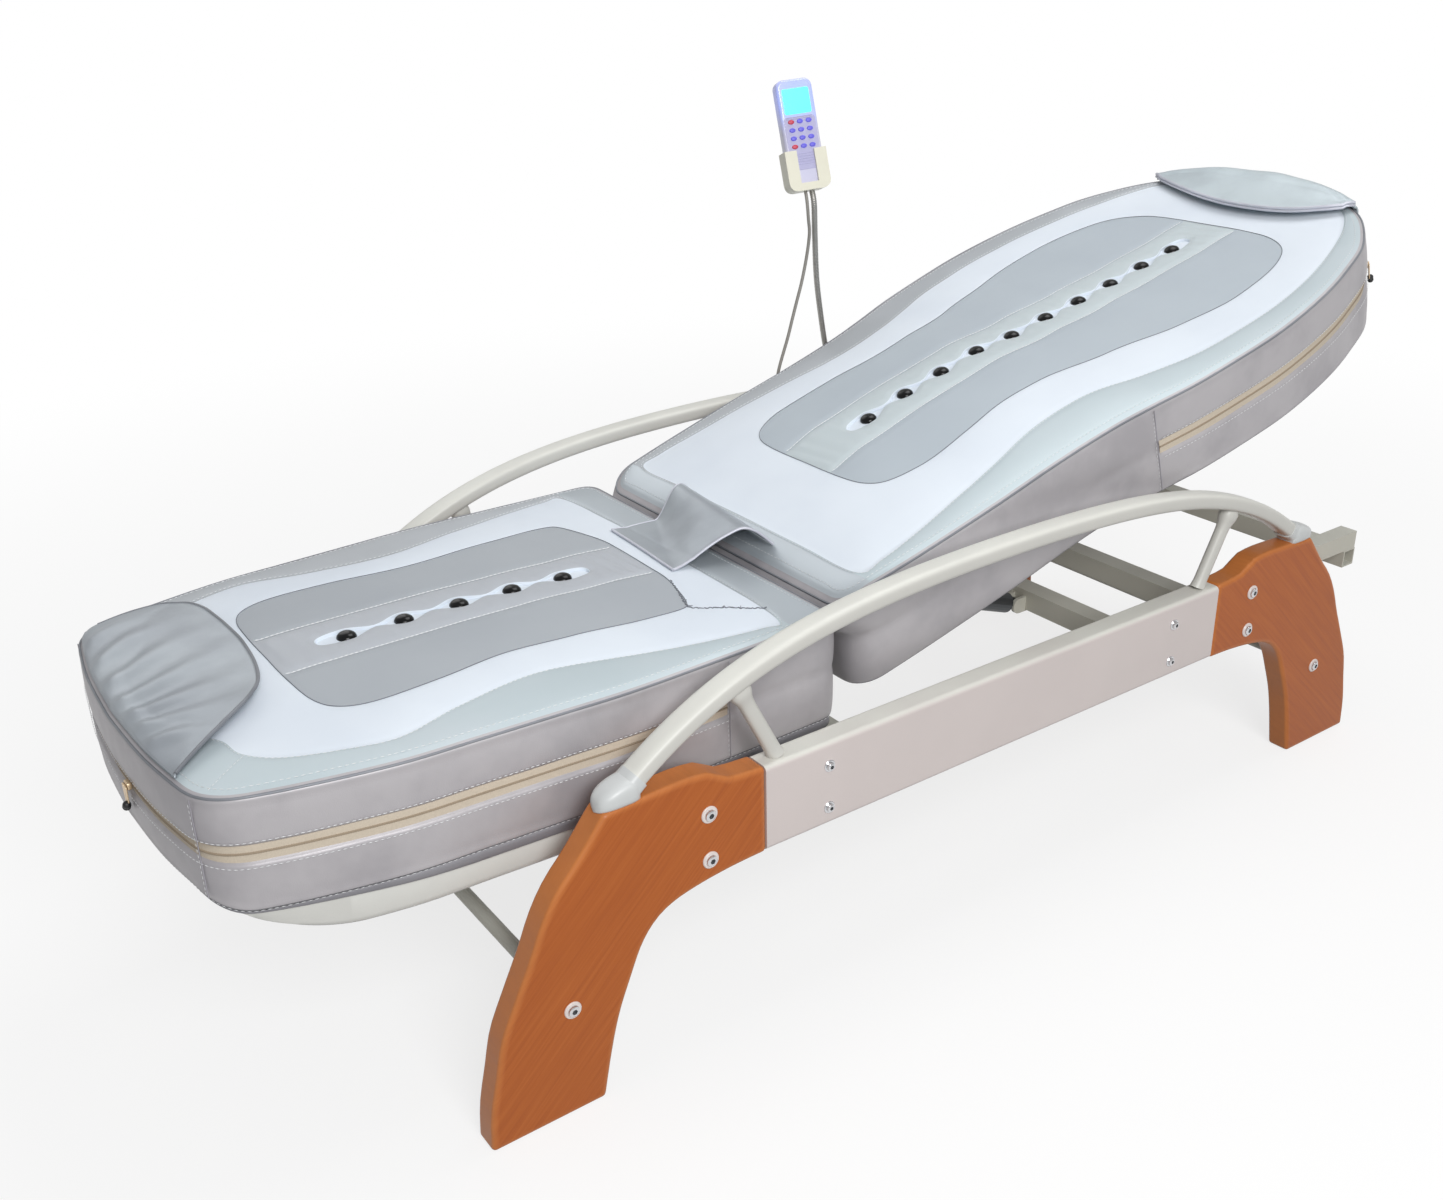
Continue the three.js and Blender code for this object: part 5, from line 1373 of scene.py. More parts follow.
@dataclass
class Mat:
    """A quilted mat. Rays leave the slit of its stones: square to it beside it, and as fans at its
    ends. Every seam is a ring that crosses all rays."""

    name: str
    foot_x: float
    head_x: float
    half: Array
    crown: float
    crown_shares: tuple[float, ...]
    white: Array
    grey: Array
    first: float
    pitch: float
    count: int
    lean: float
    zip_start: float
    zip_way: int
    panel: Look
    rays: int = 440
    bottom: float = 354.0
    top: float = 500.0
    rim: float = 8.0
    zip_z: float = 429.0
    nose_rise: float = 0.0
    dome: float = 3.0
    margin: float = 30.0
    slit_pinch: float = 2.6
    slit_swing: float = 14.4
    swells: tuple[float, ...] = (2.6, 2.2, 1.2)
    channel: float = 55.0
    channel_depth: float = 2.2
    channel_width: float = 6.0
    pucker: float = 0.7
    puff: float = 1.4
    cloud: float = 0.8
    zip_groove: float = 5.4
    zip_groove_half: float = 12.2
    lift: Callable[[Array], Array] = staticmethod(lambda points: points)

    def __post_init__(self) -> None:
        """Work out the outline, the rays and where they cross each seam."""
        even = resampled(self.half, self.rays // 2)
        outline = mirrored(even)
        for _ in range(2):
            outline = (np.roll(outline, 1, 0) + 2 * outline + np.roll(outline, -1, 0)) / 4
        self.outline = outline
        self.out = unit(outline - inset(outline, 1.0))
        self.spine = (self.first - self.margin * 0.4, self.last + self.margin * 0.4)
        self.origins, self.ways, _ = self.ray_of(outline)
        self.square = np.maximum(np.sum(self.ways * self.out, 1), 0.35)
        self.seams = self.seams_of(self.origins, self.ways)

    @property
    def last(self) -> float:
        """Place of the last stone."""
        return self.first + self.pitch * (self.count - 1)

    def ray_of(self, spots: Array) -> tuple[Array, Array, Array]:
        """Rays from the middle line of the slit to flat points.

        Args:
            spots: the points.

        Returns:
            Origins, unit directions and distances.
        """
        x = np.clip(spots[:, 0], *self.spine)
        origins = joined(x, 0.0)
        away = spots - origins
        distance = np.linalg.norm(away, axis=1)
        level = np.array([0.0, 1.0])
        ways = np.where(distance[:, None] > 1e-6, unit(away), level)
        return origins, ways, distance

    def slit(self) -> Array:
        """Outline of the scalloped slit: the half width swings once a stone, from wide at each
        stone to a pinch between two, and closes in a half ellipse at both ends.

        Returns:
            The outline.
        """
        x = np.linspace(self.first, self.last, 40 * (self.count - 1) + 1)
        wave = 0.5 + 0.5 * np.cos(TURN * (x - self.first) / self.pitch)
        width = self.slit_pinch + self.slit_swing * wave**0.9
        angle = np.linspace(0, TURN / 4, 12)[1:]
        half = self.slit_pinch + self.slit_swing
        tip = joined(self.margin * 1.35 * np.sin(angle), half * np.cos(angle) ** 0.7)
        head = tip + [self.last, 0]
        foot = tip[::-1] * [-1, 1] + [self.first, 0]
        return mirrored(np.concatenate([foot, joined(x, width), head]))

    def seams_of(self, origins: Array, ways: Array) -> Array:
        """Where rays cross the seams.

        Args:
            origins, ways: starts and unit directions of the rays.

        Returns:
            Distances to the outline, white field, grey panel and slit, one row each.
        """
        outline = crossing(origins, ways, self.outline)
        white = np.minimum(crossing(origins, ways, self.white), outline - self.rim - 6)
        grey = np.minimum(crossing(origins, ways, self.grey), white - 6)
        slit = np.minimum(crossing(origins, ways, self.slit()), grey - 8)
        return np.stack([outline, white, grey, np.maximum(slit, 0.4)])

    def crown_height(self, x: Array, share: Array) -> Array:
        """Smooth top: top + dome (1 - s) + crown along(x) (1 - s squared), s the share of the reach."""
        along = share_table(self.crown_shares, (x - self.foot_x) / (self.head_x - self.foot_x))
        return self.top + self.dome * (1 - share) + self.crown * along * (1 - share**2)

    def relief(self, xy: Array, t: Array, seams: Array) -> Array:
        """Height of the quilted top over the ground plane.

        The crown, plus a swell of h sin(pi v) to a low power between neighbouring seams, where v is
        the share from one seam to the next, less a gaussian groove on the two sewn channels and
        small puckers beside the slit.

        Args:
            xy: flat points.
            t: their distances from the slit along the rays.
            seams: distances of the seams on these rays.

        Returns:
            Heights.
        """
        x, y = xy[..., 0], xy[..., 1]
        outer, white, grey, slit = seams
        share = np.clip(t / np.maximum(outer, 1), 0, 1)
        height = self.crown_height(x, share)
        bands = ((white, outer - self.rim), (grey, white), (slit, grey))
        for (low, high), swell in zip(bands, self.swells):
            part = np.clip((t - low) / np.maximum(high - low, 1), 0, 1)
            height = height + swell * np.sin(math.pi * part) ** 0.45
        panel = np.clip((grey - t) / 12, 0, 1)
        beside = np.abs(np.abs(y) - self.channel)
        height = height - self.channel_depth * panel * np.exp(-((beside / self.channel_width) ** 2))
        strip = panel * np.clip((self.channel - np.abs(y)) / 20, 0, 1) * np.clip((t - slit) / 10, 0, 1)
        pucker = np.sin(TURN * x / 23.0 + 1.3 * np.sin(TURN * x / 131.0) + 0.03 * y)
        height = height + self.pucker * strip * pucker + self.puff * strip
        cloud = np.sin(x / 71.0 + 0.9 * np.sin(y / 53.0)) * np.sin(y / 47.0 + 1.1 * np.sin(x / 89.0))
        return height + self.cloud * cloud * np.clip((outer - t) / 60, 0, 1) * np.clip(t / 60, 0, 1)

    def height(self, spots: Array) -> Array:
        """Height of the top.

        Args:
            spots: flat points, in an array of any shape.

        Returns:
            Heights in an array of that shape.
        """
        shape = spots.shape[:-1]
        flat = spots.reshape(-1, 2)
        origins, ways, t = self.ray_of(flat)
        return self.relief(flat, t, self.seams_of(origins, ways)).reshape(shape)

    def on_top(self, spots: Array, above: float = 0.0) -> Array:
        """Points on the top of the mat over flat points, raised where the mat is."""
        return self.lift(with_height(spots, self.height(spots) + above))

    def wall(self, draw: Array | float, z: float, proud: float = 0.0) -> Array:
        """Ring of the mat's side before it is raised.

        Args:
            draw: how far it is drawn in from the outline.
            z: height of the ring.
            proud: how far it stands out.

        Returns:
            The ring's points.
        """
        flat = self.outline - self.out * (np.reshape(draw, (-1, 1)) - proud)
        ease = np.clip(1 - (flat[:, 0] - self.foot_x) / 150, 0, None)
        x = flat[:, 0] - self.lean * ease * (self.top - z) / (self.top - self.bottom)
        share = np.clip((self.zip_z - z) / (self.zip_z - self.bottom), 0, 1)
        return joined(x, flat[:, 1], z + share * self.nose(flat[:, 0]))

    def nose(self, x: Array) -> Array:
        """Rise of the underside towards the foot end, as the square of the share of the last 45 mm."""
        return self.nose_rise * np.clip((self.foot_x + 63 - x) / 45, 0, 1) ** 2

    def zipped(self) -> Array:
        """1 where the side has the zip, eased to 0 past the seam that ends it."""
        away = self.zip_way * (self.outline[:, 0] - self.zip_start)
        return np.clip(away / 8 + 0.5, 0, 1)

    def side_rings(self) -> tuple[list[Array], list[int]]:
        """Rings up the side, swelling by h sin(pi s) to a low power below and above the zip.

        Returns:
            The rings, and the slot of the band below each.
        """
        ring = np.arange(len(self.outline))
        wave = (np.sin(ring * 0.31) + np.sin(ring * 0.123 + 1)) * 0.5
        rings, slots = [], []
        for angle in np.linspace(0, TURN / 4, 5)[:-1]:
            rings.append(self.wall(self.rim * (1 - math.sin(angle)),
                                   self.bottom + self.rim * (1 - math.cos(angle))))
            slots.append(4)
        low, high = self.bottom + self.rim, self.top - self.rim
        heights = [low, *np.linspace(low + 10, self.zip_z - 18, 5), *(self.zip_z + np.array(
            [-14.5, -12.5, -11, -8, 0, 8, 11, 12.5, 14.5])), *np.linspace(self.zip_z + 18, high - 8, 5), high]
        for z in heights:
            below = z < self.zip_z
            span = (self.zip_z - low) if below else (high - self.zip_z)
            part = abs(z - self.zip_z) / span
            swell = (1.6 if below else 2.2) * math.sin(math.pi * min(part, 1)) ** 0.6
            groove = self.zip_groove * math.exp(-(((z - self.zip_z) / self.zip_groove_half) ** 8))
            crumple = 0.7 * wave * math.sin(math.pi * min(part, 1))
            draw = self.zipped() * (1.2 + groove) - swell - crumple
            rings.append(self.wall(np.asarray(draw), z))
            slots.append(0)
        for angle in np.linspace(0, TURN / 4, 6)[1:]:
            rings.append(self.wall(self.rim * (1 - math.cos(angle)), high + self.rim * math.sin(angle)))
            slots.append(0)
        return rings, slots

    def top_rings(self) -> tuple[list[Array], list[int]]:
        """Rings over the top from the rim to the slit, and down into the slit.

        Returns:
            The rings, and the slot of the band before each.
        """
        outer, white, grey, slit = self.seams
        edge = outer - self.rim / self.square
        rings, slots = [], []
        bands = ((edge, white, 9, 1), (white, grey, 12, 2), (grey, slit, 40, 3))
        for start, end, count, slot in bands:
            even = np.linspace(0, 1, count + 1)[1:]
            packed = 0.5 - 0.5 * np.cos(math.pi * even)
            part = 0.6 * even + 0.4 * packed
            for value in part:
                t = start + (end - start) * value
                flat = self.origins + self.ways * t[:, None]
                rings.append(with_height(flat, self.relief(flat, t, self.seams)))
                slots.append(slot)
        lip = rings[-1]
        for inward, down in ((0.6, 0.4), (0.9, 1.4), (0.9, 5.5)):
            t = np.maximum(slit - inward, 0.2)
            flat = self.origins + self.ways * t[:, None]
            rings.append(with_height(flat, lip[:, 2] - down))
            slots.append(2)
        floor = self.crown_height(self.origins[:, 0], np.zeros(len(lip))) - 6.5
        rings.append(with_height(self.origins, floor))
        slots.append(2)
        return rings, slots

    def body(self) -> Shell:
        """Closed body of the mat from the middle of its underside to the floor of its slit.

        Returns:
            The shell with its slots and the mark "cloth", its points before they are raised.
        """
        middle = with_height(self.origins, self.bottom)
        under = self.wall(self.rim + 30, self.bottom)
        side, side_slots = self.side_rings()
        top, top_slots = self.top_rings()
        rings = np.stack([middle, under, *side, *top])
        slots = np.repeat([4, *side_slots, *top_slots], len(self.outline))
        shell = skin(self.lift(rings), capped=False)
        shell.slots = slots
        shell.marks["cloth"] = rings.reshape(-1, 3) * MM
        return shell

    def line(self, seam: int, move: float) -> tuple[Array, Array]:
        """Closed line on the top.

        Args:
            seam: row of the seam.
            move: distance from it, outwards.

        Returns:
            The line and its normal.
        """
        t = self.seams[seam] + move / (self.square if seam == 0 else 1)
        flat = self.origins + self.ways * t[:, None]
        path = self.on_top(np.concatenate([flat, flat[:1]]), 0.35)
        return path, self.up()

    def up(self) -> Array:
        """Direction square to the mat's plane."""
        two = self.lift(np.array([[0.0, 0, 0], [0, 0, 1]]))
        return two[1] - two[0]

    def side_line(self, z: float, proud: float, part: bool = True) -> tuple[Array, Array]:
        """Line round the side.

        Args:
            z: its height.
            proud: how far it stands out.
            part: whether it runs along the zip only, or all round.

        Returns:
            The line and its normals.
        """
        ring = self.wall(0.0, z, proud)
        keep = self.zipped() > 0.5 if part else np.ones(len(ring), bool)
        start = int(np.argmax(np.roll(~keep, 1) & keep)) if part else 0
        order = (np.arange(len(ring)) + start) % len(ring)
        order = order[keep[order]]
        if not part:
            order = np.append(order, order[0])
        away = with_height(self.out, 0.0)
        path = self.lift(ring[order])
        return path, self.lift(ring[order] + away[order]) - path

    def build(self, body: str, stands_for: Sequence[str]) -> None:
        """Make the mat with its piping, stitching and zip.

        Args:
            body: the body that it rides on.
            stands_for: CAD nodes that it replaces.
        """
        looks = [Look.LEATHER, Look.BORDER, Look.WHITE_CLOTH, self.panel, Look.UNDERSIDE]
        pad = make(f"{self.name}_mat", self.body(), looks, body, weld=True,
                   sharp=70, stands_for=stands_for)
        self.piping(body)
        self.stitching(body)
        self.zip(body)

    def piping(self, body: str) -> None:
        """Piping round the rim, just outside the rounded edge.

        Args:
            body: the body that it rides on.
        """
        ring = self.wall(2.6, self.top - 1.9)
        path = self.lift(ring)
        shell = swept(path, round_section(1.7, 8), self.up(), looped=True)
        make(f"{self.name}_mat_piping", shell, [Look.PIPING], body)

    def stitching(self, body: str) -> None:
        """White stitches inside the rim, along the seams and the channels, and beside the zip.

        Args:
            body: the body that it rides on.
        """
        rows = [stitches(*self.line(0, -16.0), 5.0, 2.6, 1.3), stitches(*self.line(1, 3.0), 4.5, 2.4, 1.0)]
        ends = np.linspace(self.foot_x + 60, self.head_x - 60, 260)
        for side in (-1, 1):
            spots = joined(ends, side * self.channel)
            origins, ways, t = self.ray_of(spots)
            path = self.on_top(spots[t < self.seams_of(origins, ways)[2] - 2], 1.5)
            rows.append(stitches(path, self.up(), 6.4, 0.2, 1.9))
        for height in (self.zip_z - 16, self.zip_z + 16):
            rows.append(stitches(*self.side_line(height, 1.9), 4.5, 2.2, 1.2))
        make(f"{self.name}_mat_stitching", merged(rows), [Look.THREAD], body, closed=False)
        dark = self.line(2, 0.8)[0]
        seam = swept(dark[:-1], round_section(0.55, 5), self.up(), looped=True)
        make(f"{self.name}_mat_panel_seam", seam, [Look.DARK_THREAD], body)

    def zip(self, body: str) -> None:
        """Zip tape in the drawn-in line of the side, and the ribbed coil in its middle.

        Args:
            body: the body that it rides on.
        """
        path, away = self.side_line(self.zip_z, -4.2)
        tape = np.array([[-11.5, -0.4], [0, -0.1], [11.5, -0.4], [11.5, 0.4], [0, 0.9], [-11.5, 0.4]])
        strip = swept(path, tape, unit(away))
        make(f"{self.name}_zip_tape", strip, [Look.TAPE], body)
        fine = resampled(self.side_line(self.zip_z, -3.4)[0], int(length_of(path) / 1.3))
        ways = along_line(np.concatenate([path, unit(away)], 1), np.linspace(0, length_of(path), len(fine)))
        ribs = 1 + 0.28 * (np.arange(len(fine)) % 2)
        coil = swept(fine, round_section(1.35, 6), ways[:, 3:], ribs)
        make(f"{self.name}_zip_coil", coil, [Look.COIL], body)


def lower_half() -> Array:
    """Far half of the foot mat's outline, from its bowed foot end to its straight head end. The
    corner is the curve a(1 - s)(1 - s) + 2 c s(1 - s) + b s s between points a and b beside it.

    Returns:
        The half outline.
    """
    foot, head, corner, width, radius, round_by = -1080.0, -249.0, -1054.0, 320.0, 12.0, 46.0
    shares = np.array([[0, 0.79], [0.04, 0.824], [0.126, 0.885], [0.256, 0.949], [0.368, 0.967],
                       [0.49, 0.984], [0.62, 1], [0.81, 0.988], [0.985, 0.975]])
    span = head - radius - corner
    side = curve_through(joined(corner + shares[:, 0] * span, shares[:, 1] * width), 120)
    bow = curve_through([[foot, 0], [foot + (corner - foot) / 4, side[0, 1] / 2], side[0]], 30)
    end = side[-1]
    turn = np.linspace(0, TURN / 4, 7)[1:, None]
    bend = head - end[0]
    arc = end + bend * np.concatenate([np.sin(turn), np.cos(turn) - 1], 1)
    before = along_line(bow, np.linspace(0, length_of(bow) - round_by, 12))
    after = along_line(side, np.linspace(round_by, length_of(side), 110))
    share = np.linspace(0, 1, 12)[1:-1, None]
    bent = (1 - share) ** 2 * before[-1] + 2 * share * (1 - share) * side[0] + share**2 * after[0]
    return np.concatenate([before, bent, after, arc, [[head, 0]]])


def upper_half() -> Array:
    """Far half of the head mat's outline, from its hinge end to its round head end.

    Returns:
        The half outline.
    """
    hinge, head, width = -176.0, 1089.0, 350.0
    shares = np.array([
        [0.03, 0.856], [0.1, 0.872], [0.2, 0.884], [0.3, 0.885], [0.38, 0.9], [0.44, 0.93],
        [0.5, 0.968], [0.57, 0.99], [0.635, 1], [0.7, 0.985], [0.76, 0.952], [0.81, 0.905],
        [0.86, 0.845], [0.905, 0.745], [0.94, 0.635], [0.966, 0.5], [0.985, 0.33], [0.997, 0.15], [1, 0]])
    side = curve_through(joined(hinge + shares[:, 0] * (head - hinge), shares[:, 1] * width), 260)
    radius = side[0, 0] - hinge
    turn = np.linspace(TURN / 4, 0, 9)[:-1, None]
    arc = side[0] + radius * np.concatenate([-np.sin(turn), np.cos(turn) - 1], 1)
    return np.concatenate([[[hinge, 0]], arc, side])


@dataclass(frozen=True)
class Tilt:
    """Hinge of the head half, which stands raised at rest."""

    x: float = -238.0
    z: float = 350.0
    degrees: float = 16.5

    def lift(self, points: Array) -> Array:
        """Points of the level head half, turned up about the hinge: x = hx + u cos - w sin and
        z = hz + u sin + w cos, with u and w measured from the hinge."""
        c, s = math.cos(math.radians(self.degrees)), math.sin(math.radians(self.degrees))
        u, w = points[..., 0] - self.x, points[..., 2] - self.z
        return joined(self.x + u * c - w * s, points[..., 1], self.z + u * s + w * c)


TILT = Tilt()


@dataclass(frozen=True)
class HingeRoll:
    """Soft edge that the head mat rolls over at its hinge end before it is raised."""

    start: float = -134.0
    reach: float = 42.0
    drop: float = 15.0
    swell: float = 21.0
    low: float = 436.0

    def lift(self, points: Array) -> Array:
        """Points past the start moved down and out by powers of s h, where s is the share of the
        reach and h eases in with the height; then all of them raised with the mat.

        Args:
            points: points of the level mat.

        Returns:
            The raised points.
        """
        share = np.clip((self.start - points[..., 0]) / self.reach, 0, 1)
        high = np.clip((points[..., 2] - self.low) / (500 - self.low), 0, 1)
        rolled = points.copy()
        rolled[..., 2] -= self.drop * share**1.7 * high
        rolled[..., 0] -= self.swell * share * np.sin(math.pi * np.clip(high * 0.75, 0, 1))
        return TILT.lift(rolled)


ROLL = HingeRoll()


def foot_mat() -> Mat:
    """The foot mat with its seams.

    Returns:
        The mat.
    """
    white = np.array([[-1050, 0], [-1040, 70], [-1015, 110], [-993, 148], [-985, 186], [-953, 219],
                      [-895, 245], [-831, 259], [-748, 237], [-636, 222], [-514, 251], [-438, 269],
                      [-354, 281], [-322, 276], [-314, 150], [-312, 0]], float)
    grey = np.array([[-888, 0], [-888, 70], [-882, 130], [-862, 162], [-820, 176], [-740, 172],
                     [-650, 160], [-560, 166], [-470, 176], [-408, 178], [-389, 166], [-375, 122],
                     [-366, 80], [-365, 40], [-365, 0]], float)
    return Mat(
        name="foot", foot_x=-1080.0, head_x=-249.0, half=lower_half(), crown=14.0,
        crown_shares=(0.2, 0.6, 0.95, 1, 1, 0.85, 0.55, 0.3, 0.15),
        white=mirrored(curve_through(white, 150)), grey=mirrored(curve_through(grey, 140)),
        first=-787.0, pitch=77.0, count=5, lean=0.0, zip_start=-427.0, zip_way=-1,
        panel=Look.FOOT_PANEL, rays=400, nose_rise=16.0)


def head_mat() -> Mat:
    """The head mat with its seams, raised about the hinge.

    Returns:
        The mat.
    """
    white = np.array([[-134, 0], [-134, 150], [-133, 262], [-95, 270], [-31, 266], [68, 256],
                      [154, 243], [230, 229], [300, 227], [363, 236], [430, 258], [508, 281],
                      [582, 290], [664, 292], [750, 286], [840, 268], [926, 240], [980, 214],
                      [1016, 184], [1032, 150], [1038, 100], [1040, 50], [1040, 0]], float)
    grey = np.array([[0, 0], [0, 80], [8, 125], [34, 152], [90, 164], [180, 158], [270, 148],
                     [380, 158], [490, 182], [600, 208], [700, 218], [800, 206], [868, 178],
                     [902, 130], [912, 70], [914, 0]], float)
    return Mat(
        name="head", foot_x=-176.0, head_x=1089.0, half=upper_half(), crown=30.0,
        crown_shares=(0.1, 0.45, 0.85, 1, 0.95, 0.5, 0.15, -0.1, -0.3, -0.4, -0.2),
        white=mirrored(curve_through(white, 220)), grey=mirrored(curve_through(grey, 200)),
        first=125.0, pitch=76.6, count=10, lean=22.0, zip_start=381.0, zip_way=1,
        panel=Look.HEAD_PANEL, rays=520, lift=ROLL.lift)


@dataclass
class StoneStrip:
    """Row of polished stones on a pale tape at the floor of a mat's slit."""

    mat: Mat
    node: str
    body: str
    radius: float = 12.8
    rise: float = 7.8

    def stone(self, x: float) -> Shell:
        """Flattened dome: radius times cos(a) to a power, height times sin(a), a bit fuller at
        the shoulder than a ball.

        Args:
            x: place along the bed.

        Returns:
            The shell.
        """
        angle = np.linspace(0, TURN / 4, 12)
        rows = [(self.radius * 0.96, -3.0, False)]
        rows += [(max(self.radius * math.cos(a) ** 0.86, 0.15), self.rise * math.sin(a) ** 1.05, False)
                 for a in angle]
        shell = lathed(rows, 28)
        shell.points += [x, 0, float(self.base(np.array([x]))[0])]
        return shell

    def base(self, x: Array) -> Array:
        """Height of the tape's top under the stones."""
        return self.mat.crown_height(x, np.zeros(len(x))) - 4.6

    def build(self) -> None:
        """Make the tape and its stones as one piece that replaces the CAD strip."""
        mat = self.mat
        outline = inset(mat.slit(), -1.0)
        base = self.base(outline[:, 0])
        rings = [with_height(inset(outline, draw), base + lift)
                 for draw, lift in ((0.5, -1.6), (0.0, -1.2), (0.0, -0.2), (0.8, 0.0))]
        tape = skin(np.stack(rings)).dressed(0)
        stones = merged([self.stone(mat.first + mat.pitch * k).dressed(1) for k in range(mat.count)])
        both = merged([tape, stones])
        both.marks["cloth"] = both.points * MM
        both.points = mat.lift(both.points)
        make(f"{mat.name}_stones", both, [Look.WHITE_CLOTH, Look.STONE], self.body, sharp=50,
             stands_for=[self.node])


# flaps


def sheet_between(seam: Array, free: Array, steps: int) -> Array:
    """Flat points between two edges: point(v, u) = seam(v) + u (free(v) - seam(v))."""
    share = np.linspace(0, 1, steps + 1)[None, :, None]
    return seam[:, None] + share * (free - seam)[:, None]


def folds(v: Array, u: Array, seeds: Sequence[Triple]) -> Array:
    """Soft folds that run from the seam to the free edge: a sum of bells in v that grow from the
    seam and wander a little along u.

    Args:
        v, u: shares along the seam, and from the seam to the free edge.
        seeds: place, width and rise of each bell.

    Returns:
        The rise at each point.
    """
    total = np.zeros_like(v)
    for place, width, rise in seeds:
        away = (v - place - 0.03 * np.sin(3 * u + 9 * place)) / (width * (1 + 0.5 * u))
        total = total + rise * np.exp(-(away**2))
    return total * (0.2 + np.exp(-(((u - 0.26) / 0.34) ** 2))) * np.clip(u / 0.1, 0, 1)


def flat_area(points: Array) -> float:
    """Area of a grid of points in square metres: half the cross product of each cell's diagonals."""
    first = points[1:, 1:] - points[:-1, :-1]
    second = points[1:, :-1] - points[:-1, 1:]
    return float(np.linalg.norm(np.cross(first, second), axis=-1).sum()) / 2 * MM * MM


def shares_of(flat: Array) -> Sequence[Array]:
    """Shares u from the seam to the free edge, and v along the seam, of a grid of points."""
    return np.meshgrid(*(np.linspace(0, 1, count) for count in flat.shape[1::-1]))


def make_sheet(name: str, grid: Array, look: Look, node: str, thickness: float) -> bpy.types.Object:
    """Sheet piece from a grid of points, thickened evenly to both sides.

    Args:
        name: the piece's name.
        grid: the points.
        look: its finish.
        node: CAD node that it replaces.
        thickness: in millimetres.

    Returns:
        The object.
    """
    shell = skin(grid, closed=False)
    shell.marks["cloth"] = grid.reshape(-1, 3) * MM
    piece = make(name, shell, [look], None, closed=False, sharp=80,
                 stands_for=[node])
    solid = piece.modifiers.new("thickness", "SOLIDIFY")
    solid.thickness = thickness * MM
    solid.offset = 0.0
    return piece


def edge_tube(name: str, path: Array, radius: float, look: Look) -> bpy.types.Object:
    """Piping along an open edge of a flap."""
    shell = swept(path, round_section(radius, 8), (0, 0, 1))
    return make(name, shell, [look], None)


def bend(mat: Mat, fixed: str, moving: str, fold: Pair, *pieces: bpy.types.Object) -> None:
    """Bake the world placement of a flap's pieces into their meshes.

    Args:
        mat: mat that the flap is sewn to.
        fixed, moving: not used.
        fold: X at which the bend starts and X at which it ends, on the mat as drawn.
        pieces: the flap and its edges.
    """
    ends = to_frame(mat.lift(np.array([[x, 0.0, mat.top] for x in fold])))
    for piece in pieces:
        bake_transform(piece)


@dataclass
class FootFlap:
    """Shoe cover of the foot end: a D of silver leather with soft folds and a piped edge."""

    mat: Mat
    free: tuple = ((-1056, -190), (-1033, -172), (-999, -148), (-967, -126), (-942, -104), (-922, -70),
                   (-908, -14), (-902, 50), (-903, 120), (-907, 180), (-918, 218), (-940, 240),
                   (-978, 248), (-1026, 242))
    near_y: float = -192.0
    far_y: float = 236.0
    seeds: tuple = ((0.16, 0.028, 4.2), (0.27, 0.032, 5.6), (0.38, 0.03, 6.2), (0.485, 0.03, 6.6),
                    (0.6, 0.034, 6.0), (0.72, 0.036, 5.2), (0.85, 0.04, 4.2))
    fold: Pair = (-1064.0, -1024.0)

    def build(self) -> None:
        """Make the flap with its piping."""
        v = np.linspace(0, 1, 81)
        free = resampled(curve_through(self.free, 160), 80)
        y = self.near_y + (self.far_y - self.near_y) * v
        order = np.argsort(self.mat.outline[:, 1])
        foot = self.mat.outline[order][self.mat.outline[order][:, 0] < -900]
        rim = np.interp(np.clip(y, -240, 240), foot[:, 1], foot[:, 0]) + 7
        seam = joined(rim, y)
        flat = sheet_between(seam, free, 30)
        u, vv = shares_of(flat)
        ends = np.sin(math.pi * np.clip(vv, 0.01, 0.99)) ** 0.5
        raised = np.exp(-(((vv - 0.2) / 0.13) ** 2)) * u**2
        rise = 4.0 + folds(vv, u, self.seeds) + 6.0 * ends * np.sin(math.pi * 0.8 * u)
        grid = with_height(flat, self.mat.height(flat) + (rise + 9.0 * raised + 1.5 * u))
        flap = make_sheet("foot_shoe_flap", grid, Look.FLAP, "foot_flap", 2.4)
        piping = edge_tube("foot_shoe_flap_piping", grid[:, -1], 2.3, Look.PIPING)
        bend(self.mat, "frame", "foot_flap", self.fold, flap, piping)
        area = flat_area(grid)


